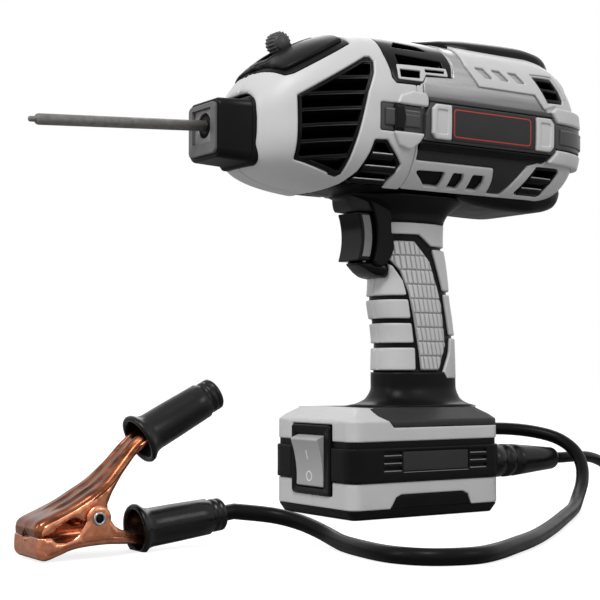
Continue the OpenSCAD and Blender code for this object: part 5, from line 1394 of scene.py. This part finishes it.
# Painted highlights: thin light grey strips along the lower edges of the band's rib slots and under the label
# recess.
fine = side_bars(6.2, 0.28, (27.9, 32.4, 36.9)) + [rect(at_side(-19.6), 26.75, at_side(29.6), 27.1)]
piece("base_rib_painted_highlights", wall(fine, depth=-1.15, rim=0.1, wall=0.5), GREY_TRIM_AND_HIGHLIGHT)
piece("base_groove", wall([rect(0, 40.8, AROUND, 45.6)], depth=0.7, rim=0.2, wall=2.5), BLACK)
UPPER = [
    (0, 45.1), (AROUND, 45.1), (AROUND, 53), (68.6, 53), (66.6, 55.4), (62.4, 60), (53.2, 70.4), (0, 70.4)]
mesh = merged(wall(carve([UPPER], [SWITCH], 0.8), rim=0.8, wall=2.5), deck_plate(-45.6, -33.5))
piece("base_upper_cover", mesh, PALE, ["base_upper"])
DECK = [(AROUND, 53.3), (AROUND, 70.4), (53.6, 70.4), (62.4, 60), (66.6, 55.4), (68.9, 53.3)]
mesh = merged(wall(carve([DECK], [], 0.5), depth=0.15, rim=0.5, wall=2.5), deck_plate(-33.4, 45.6))
piece("base_deck_cover", mesh, DEEP, ["base_deck"])
piece("foot_tray", slab([(0, 4.4), (0.5, 3.6), (4.6, 0.7), (5.4, 0.4), (5.6, 0.5)]), BLACK, ["foot"])
bezel = x_tube([(-58, 39, 39.6, 1.4), (-57.6, 40, 40.6, 1.8), (-56.8, 40.4, 41, 2), (-42, 40.4, 41, 2)],
    [(-58, 29, 32.6, 1), (-57.2, 28.2, 31.8, 0.8), (-44, 28.2, 31.8, 0.8)], 33.8, 33)
piece("switch_frame", bezel, BLACK, ["switch_bezel"])
ROCKER_X, ROCKER_Z, ROCKER_TILT = -54, 33, math.radians(-9.25)
ROCKER_R, ROCKER_FACE, ROCKER_HALF = 15.6, 6.8, 13.75
HOLLOW_R, HOLLOW_DEPTH, HOLLOW_HALF = 62, 1.5, 14.0


def hollow(z):
    """Where the rocker's hollow face lies at a height, before it is tilted."""
    return -ROCKER_FACE - HOLLOW_R + HOLLOW_DEPTH + math.sqrt(HOLLOW_R ** 2 - z * z)


def tilted(x, z):
    """A side point of the rocker, turned as it rests."""
    c, s = math.cos(ROCKER_TILT), math.sin(ROCKER_TILT)
    return ROCKER_X + x * c + z * s, ROCKER_Z - x * s + z * c


rocker = []
for z in np.linspace(-ROCKER_R, ROCKER_R, 41):
    x = max(-math.sqrt(max(0, ROCKER_R ** 2 - z * z)), -ROCKER_FACE)
    rocker.append((max(x, hollow(z)) if abs(z) < HOLLOW_HALF else x, z))
key = prism([tilted(x, z) for x, z in rocker + [(4, 14.9), (4, -14.9)]], -ROCKER_HALF, ROCKER_HALF)
piece("rocker_key", key, ROCKER, ["rocker"], "rocker_body", bevel=0.7)


def on_rocker(y, z, out=0.12):
    """A point on the rocker's hollow face."""
    x, tilted_z = tilted(hollow(z) - out, z)
    return x, y, tilted_z


RING_Z, RING_R, RING_HOLE = -8.3, 3.1, 2.35
ring = [[on_rocker(r * math.cos(a), RING_Z + r * math.sin(a), out) for a in np.linspace(0, 2 * np.pi,
    41)[:-1]]
    for r, out in ((RING_R, -0.3), (RING_R, 0.12), (RING_HOLE, 0.12), (RING_HOLE, -0.3))]
ring = rings_mesh(ring + ring[:1], caps=False)
bar = [[on_rocker(y, z) for y in (-0.45, 0.45)] for z in np.linspace(1.6, 7.2, 6)]
bar = rings_mesh([[a, b, (b[0] + 0.4, b[1], b[2]), (a[0] + 0.4, a[1], a[2])] for a, b in bar])
piece("rocker_marks", merged(ring, bar), MARKS, body="rocker_body", smooth=False)
REAR_WALL = 52.5
relief = [(0.01, 0), (10.4, 0), (10.4, 9.4), (10.2, 10), (10.2, 12.4), (8.8, 13.2), (8.8, 15.6), (10.3, 16.4),
    (10.2, 20.6), (8.6, 21.4), (8.6, 23.8), (10, 24.6), (9.5, 30), (8.2, 44), (7.0, 58), (6.4, 59.6),
    (5.4, 60), (0.01, 60)]
piece("mains_sleeve", revolve(relief, (REAR_WALL, *CORD_START[1:]), (1, 0, 0)), RUBBER, ["mains_relief"])
gland = revolve([(0.01, 0), (6.4, 0), (6.4, 9), (5.6, 10), (0.01, 10)], (REAR_WALL, *LEAD_START[1:]),
    (1, 0, 0))
piece("lead_gland", gland, RUBBER, ["ground_gland"])
PLUG_L, PIN_GAP = 54, 19
plug = revolve([(0.01, 0), (5, 0), (5.2, 2), (6, 14), (15.5, 20), (17.6, 22), (18.5, 24), (18.5, 52.6),
    (17.6, PLUG_L), (0.01, PLUG_L)], PLUG_AT, (0, -1, 0), 96)
plug_piece = piece("plug_shell", above(plug, 0.1), RUBBER, ["plug_body"])
pins = [
    revolve([(0.01, 0), (2.4, 0), (2.4, 17.8), (1.2, 19), (0.01, 19)],
        (PLUG_AT[0] + way * PIN_GAP / 2, PLUG_AT[1] - PLUG_L, PLUG_AT[2]), (0, -1, 0), 32)
    for way in (-1, 1)]
pin_piece = piece("plug_pin_pair", merged(*pins), STEEL, ["plug_pins"])

# ---- Clamp ---------------------------------------------------------------------------------
PIVOT = np.array([-242.0, 18.5])
RIVET_AT = (PIVOT[0], CLAMP_Y, PIVOT[1])
SHEET_T, BEND = 1.5, 3.6


def strip(path, half, mouth=0.0, mouth_end=0.0, ribs=0.0, steps=170):
    """A bent web along a side path: its edges round over into the cheeks, its ends draw back at the sides."""
    fine = smoothed(path, 12)
    run = np.concatenate([[0], np.cumsum(np.linalg.norm(np.diff(fine, axis=0), axis=1))])
    total = run[-1]

    def along(s):
        return np.array([np.interp(s, run, fine[:, k]) for k in (0, 1)])

    rings = []
    for s0 in np.linspace(0, total, steps):
        flat = half(float(along(s0)[0])) - BEND
        ring = []
        for layer, way in ((0, 1), (SHEET_T, -1)):
            r = BEND - layer
            edge = [(-flat - r * math.cos(a), BEND - r * math.sin(a)) for a in np.linspace(0, math.pi / 2, 8)]
            middle = [(f * flat, layer) for f in np.linspace(-1, 1, 25)[1:-1]]
            for y, d in (edge + middle + [(-y, d) for y, d in edge[::-1]])[::way]:
                s1 = min(max(s0, mouth - 0.75 * abs(y)), total - max(0, mouth_end - 0.6 * abs(y)))
                t = along(s1 + 0.4) - along(s1 - 0.4)
                t /= np.linalg.norm(t)
                if ribs:
                    fade = min(1, max(0, (s1 - 16) / 6)) * min(1, max(0, (total - s1) / 6))
                    d -= ribs * fade * math.exp(-((abs(y) - 4.6) / 1.1) ** 4)
                x, z = along(s1) + np.array([t[1], -t[0]]) * d
                ring.append((x, CLAMP_Y + y, z))
        rings.append(ring)
    return rings_mesh(rings)


def toward(points, path, reach=1.0):
    """Points moved a little way towards the nearest point of a path."""
    fine, out = smoothed(path, 12), []
    for q in np.asarray(points, float):
        d = fine - q
        near = d[np.argmin(np.linalg.norm(d, axis=1))]
        out.append(tuple(q + near / np.linalg.norm(near) * reach))
    return out


def cheek(outline, half):
    """A flat side of a jaw that leans in with the web's width, and its twin."""
    loop = ccw(dense(outline, 1.2))
    low, high = loop.min(axis=0), loop.max(axis=0)
    grid = np.array([(x, z) for x in np.arange(low[0] + 1, high[0], 2.2) for z in np.arange(low[1] + 1,
        high[1], 2.2)])
    grid = grid[inside(grid, [loop])]
    near = np.min(np.linalg.norm(grid[:, None] - loop[None], axis=2), axis=1)
    points, triangles = triangulated(np.concatenate([loop, grid[near > 1.0]]), ring_edges([loop]))
    triangles = triangles[inside(points[triangles].mean(axis=1), [loop])]
    h = np.array([half(x) for x in points[:, 0]])
    outer = np.stack([points[:, 0], CLAMP_Y - h - 0.03, points[:, 1]], 1)
    under = outer + (0, SHEET_T, 0)
    n = len(points)
    faces = [tuple(t) for t in triangles] + [(c + n, b + n, a + n) for a, b, c in triangles]
    faces += [(b, a, a + n, b + n) for a, b in border(triangles)]
    near_side = (np.concatenate([outer, under]), faces)
    far_side = ((near_side[0] - (0, CLAMP_Y, 0)) * (1, -1, 1) + (0, CLAMP_Y, 0),
        [tuple(reversed(f)) for f in faces])
    return merged(near_side, far_side)


def narrowing(wide, slim, start, end):
    """A half width that goes smoothly from one value to another between two places along x."""
    def half(x):
        t = min(1, max(0, (x - start) / (end - start)))
        return wide + (slim - wide) * t * t * (3 - 2 * t)
    return half


def ear(start, end, radius=6.0):
    """The round end of a cheek, about the rivet."""
    return [(PIVOT[0] + radius * math.cos(math.radians(a)), PIVOT[1] + radius * math.sin(math.radians(a)))
        for a in np.linspace(start, end, 17)]


upper_web = [(-271.8, 11.4), (-271.9, 14.6), (-271.0, 17.2), (-268.4, 19.1), (-262, 21.7), (-254, 25.2),
    (-246, 29.6), (-237.5, 35), (-229, 43.1), (-220, 52.2), (-213.6, 56.9), (-207, 60.4)]
upper_half = narrowing(14.0, 8.0, -246, -216)
low_edge = [(-204.6, 56.4), (-214, 51), (-220.4, 46), (-228, 37.6), (-233.6, 30), (-236.4, 24.6),
    (-236, 20)] + ear(5, -80, 6.2)[1:] + [
    (-246, 14.6), (-248.6, 17.2), (-251.4, 19), (-254.6, 19.2), (-258, 17.6), (-262, 14.6), (-266, 11.4),
    (-269.2, 11.4)]
upper_side = [(-268.3, 13.5), (-267.6, 15.3), (-266.6, 15.9), (-260.6, 18.3), (-252.4, 21.9), (-244.2, 26.4),
    (-235.3, 32.1), (-226.5, 40.5), (-217.6, 49.5), (-211.7, 53.8), (-205.4, 57.2)]
# The upper web takes the darker copper with painted reflections.
mesh = strip(upper_web, upper_half, mouth=3.4, ribs=0.9)
piece("upper_jaw_web", mesh, SHEET_PAINTED_REFLECTIONS, body="clamp_arm")
mesh = cheek(toward(upper_side, upper_web) + low_edge, upper_half)
piece("upper_jaw_cheeks", mesh, SHEET, ["upper_jaw"], "clamp_arm")
lower_web = [(-271.5, 11), (-271.7, 6.6), (-271.4, 3.2), (-269.2, 0.9), (-266, 0.8), (-260, 2.8),
    (-254.5, 4.6), (-247.5, 5.6), (-236.5, 6), (-229, 5.3), (-218, 3.9), (-208.4, 2.7)]
lower_half = narrowing(16.0, 6.6, -238, -214)
lower_side = [(-268, 8.5), (-268, 5.2), (-267.4, 4.4), (-266.2, 4.4), (-261.2, 6.2), (-255.5, 8.1),
    (-247.7, 9.2), (-236.4, 9.6), (-228.6, 8.9), (-217.6, 7.5), (-209, 6.4)]
top_edge = [(-209, 7), (-214, 8.6), (-222, 10.4), (-229.6, 12.4), (-233.8, 14.6)] + ear(-10, 190) + [
    (-249.4, 15.2), (-251.6, 11.8), (-254.4, 9.6), (-258.6, 8.4), (-263, 8.6), (-265.4, 10.9), (-269, 10.9)]
lower_jaw = merged(strip(lower_web[::-1], lower_half, mouth_end=2.6),
    cheek(toward(lower_side, lower_web) + top_edge, lower_half))
piece("lower_jaw_sheet", lower_jaw, SHEET, ["lower_jaw"])

rivet = revolve([(0.01, -16.2), (2.0, -16.2), (2.0, -16.7), (2.3, -17.0), (2.8, -17.0), (3.2, -16.6),
    (3.2, -16), (3.0, -15.8), (3.0, 15.8), (3.2, 16), (3.2, 16.6), (2.8, 17.0), (2.3, 17.0), (2.0, 16.7),
    (2.0, 16.2), (0.01, 16.2)], RIVET_AT, (0, 1, 0), 48)
rivet_piece = piece("clamp_rivet_tube", rivet, STEEL, ["clamp_rivet"])
# A black rod inside the rivet shows as dark discs in its hollow ends: painted shade for the rivet's bore.
mesh = revolve([(0.01, -16.35), (1.95, -16.35), (1.95, 16.35), (0.01, 16.35)], RIVET_AT, (0, 1, 0), 32)
rivet_bore_shade_piece = piece("clamp_rivet_bore_shade", mesh, BLACK)

boot_profile = [
    (0.01, 8), (8.4, 8), (9.6, 1.4), (10.2, 0.2), (11.9, 0), (12.5, 1), (12.3, 2.2), (11.2, 3.6), (10, 5.4),
    (9.4, 8), (9.3, 20), (9.0, 34), (8.9, 39.6), (8.5, 40.2), (7.7, 40.4), (7.7, 42.4), (8.1, 42.7),
    (8.1, 44.4), (7.7, 44.7), (7.7, 45.4), (8.1, 45.7), (8.0, 47.4), (7.4, 48), (0.01, 48)]
for name, at, tilt, node, body in (
        ("upper_grip_boot", UPPER_BOOT_AT, UPPER_BOOT_TILT, "upper_boot", "clamp_arm"),
        ("lower_grip_boot", LOWER_BOOT_AT, LOWER_BOOT_TILT, "lower_boot", "gun")):
    mesh = revolve(boot_profile, (at[0], CLAMP_Y, at[1]), (math.cos(tilt), 0, math.sin(tilt)))
    piece(name, above(mesh, 0.05), RUBBER, [node], body)

for node, material in (
        ("chuck_jaw", STEEL), ("clamp_spring", SHEET), ("fan_frame", BLACK), ("fan_rotor", DEEP),
        ("circuit_board", BOARD), ("heatsink", METAL), ("transformer", COIL)):
    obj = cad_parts[node]
    obj.data.materials.clear()
    obj.data.materials.append(material)


# ---- Studio --------------------------------------------------------------------------------
def lamp(name, at, aim, size, power):
    """A rectangular lamp that faces a point, in metres and watts."""
    data = bpy.data.lights.new(name, "AREA")
    data.shape = "RECTANGLE"
    data.size, data.size_y = size
    data.energy = power
    obj = bpy.data.objects.new(name, data)
    obj.location = at
    obj.rotation_euler = (Vector(aim) - Vector(at)).to_track_quat("-Z", "Y").to_euler()
    scene.collection.objects.link(obj)


lamp("key", (-0.75, -0.7, 1.35), (0, 0, 0.2), (0.5, 0.5), 15)
lamp("side", (-1.3, 0.1, 0.75), (0, 0, 0.2), (0.2, 0.8), 4)
lamp("fill", (0.6, -1.2, 0.9), (0, 0, 0.15), (0.25, 0.5), 3.5)
lamp("back", (0.9, 1.0, 1.1), (0, 0, 0.2), (0.9, 0.9), 6)

AMBIENT, FLOOR_TONE, FLOOR_GLOW, FLOOR_HALF = 0.26, 0.42, 0.8, 6
world = bpy.data.worlds.new("studio")
world.use_nodes = True
scene.world = world
tree = world.node_tree
tree.nodes.clear()
rays = add_node(tree, "ShaderNodeLightPath").outputs
seen = add_node(tree, "ShaderNodeMath", rays["Is Camera Ray"], rays["Is Transmission Ray"],
    operation="MAXIMUM")
shine = add_node(tree, "ShaderNodeMath", seen.outputs[0], rays["Is Glossy Ray"], operation="MAXIMUM")
level_node = add_node(tree, "ShaderNodeMapRange", shine.outputs[0], To_Min=AMBIENT, To_Max=1.0)
backdrop = add_node(tree, "ShaderNodeBackground", Color=(1, 1, 1, 1))
tree.links.new(level_node.outputs["Result"], backdrop.inputs["Strength"])
add_node(tree, "ShaderNodeOutputWorld", backdrop.outputs[0])

ground = bpy.data.materials.new("studio_floor")
ground.use_nodes = True
tree = ground.node_tree
shader = tree.nodes["Principled BSDF"]
for key, value in (("Base Color", (FLOOR_TONE,) * 3 + (1,)), ("Roughness", 0.6), ("Specular IOR Level", 0.1)):
    shader.inputs[key].default_value = value
seen = add_node(tree, "ShaderNodeLightPath").outputs["Is Camera Ray"]
dark = add_node(tree, "ShaderNodeEmission", Strength=0.0)
glow = add_node(tree, "ShaderNodeEmission", Color=(1, 1, 1, 1), Strength=FLOOR_GLOW)
choose = add_node(tree, "ShaderNodeMixShader", seen, dark.outputs[0], glow.outputs[0])
total = add_node(tree, "ShaderNodeAddShader", shader.outputs[0], choose.outputs[0])
tree.links.new(total.outputs[0], tree.nodes["Material Output"].inputs["Surface"])
data = bpy.data.meshes.new("floor")
corners = [(x * FLOOR_HALF, y * FLOOR_HALF, 0) for x, y in ((-1, -1), (1, -1), (1, 1), (-1, 1))]
data.from_pydata(corners, [], [(0, 1, 2, 3)])
data.materials.append(ground)
floor = bpy.data.objects.new("floor", data)
scene.collection.objects.link(floor)
floor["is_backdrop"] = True

low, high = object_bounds()
{"cad": [list(cad_low), list(cad_high)], "visual": [list(low), list(high)]}
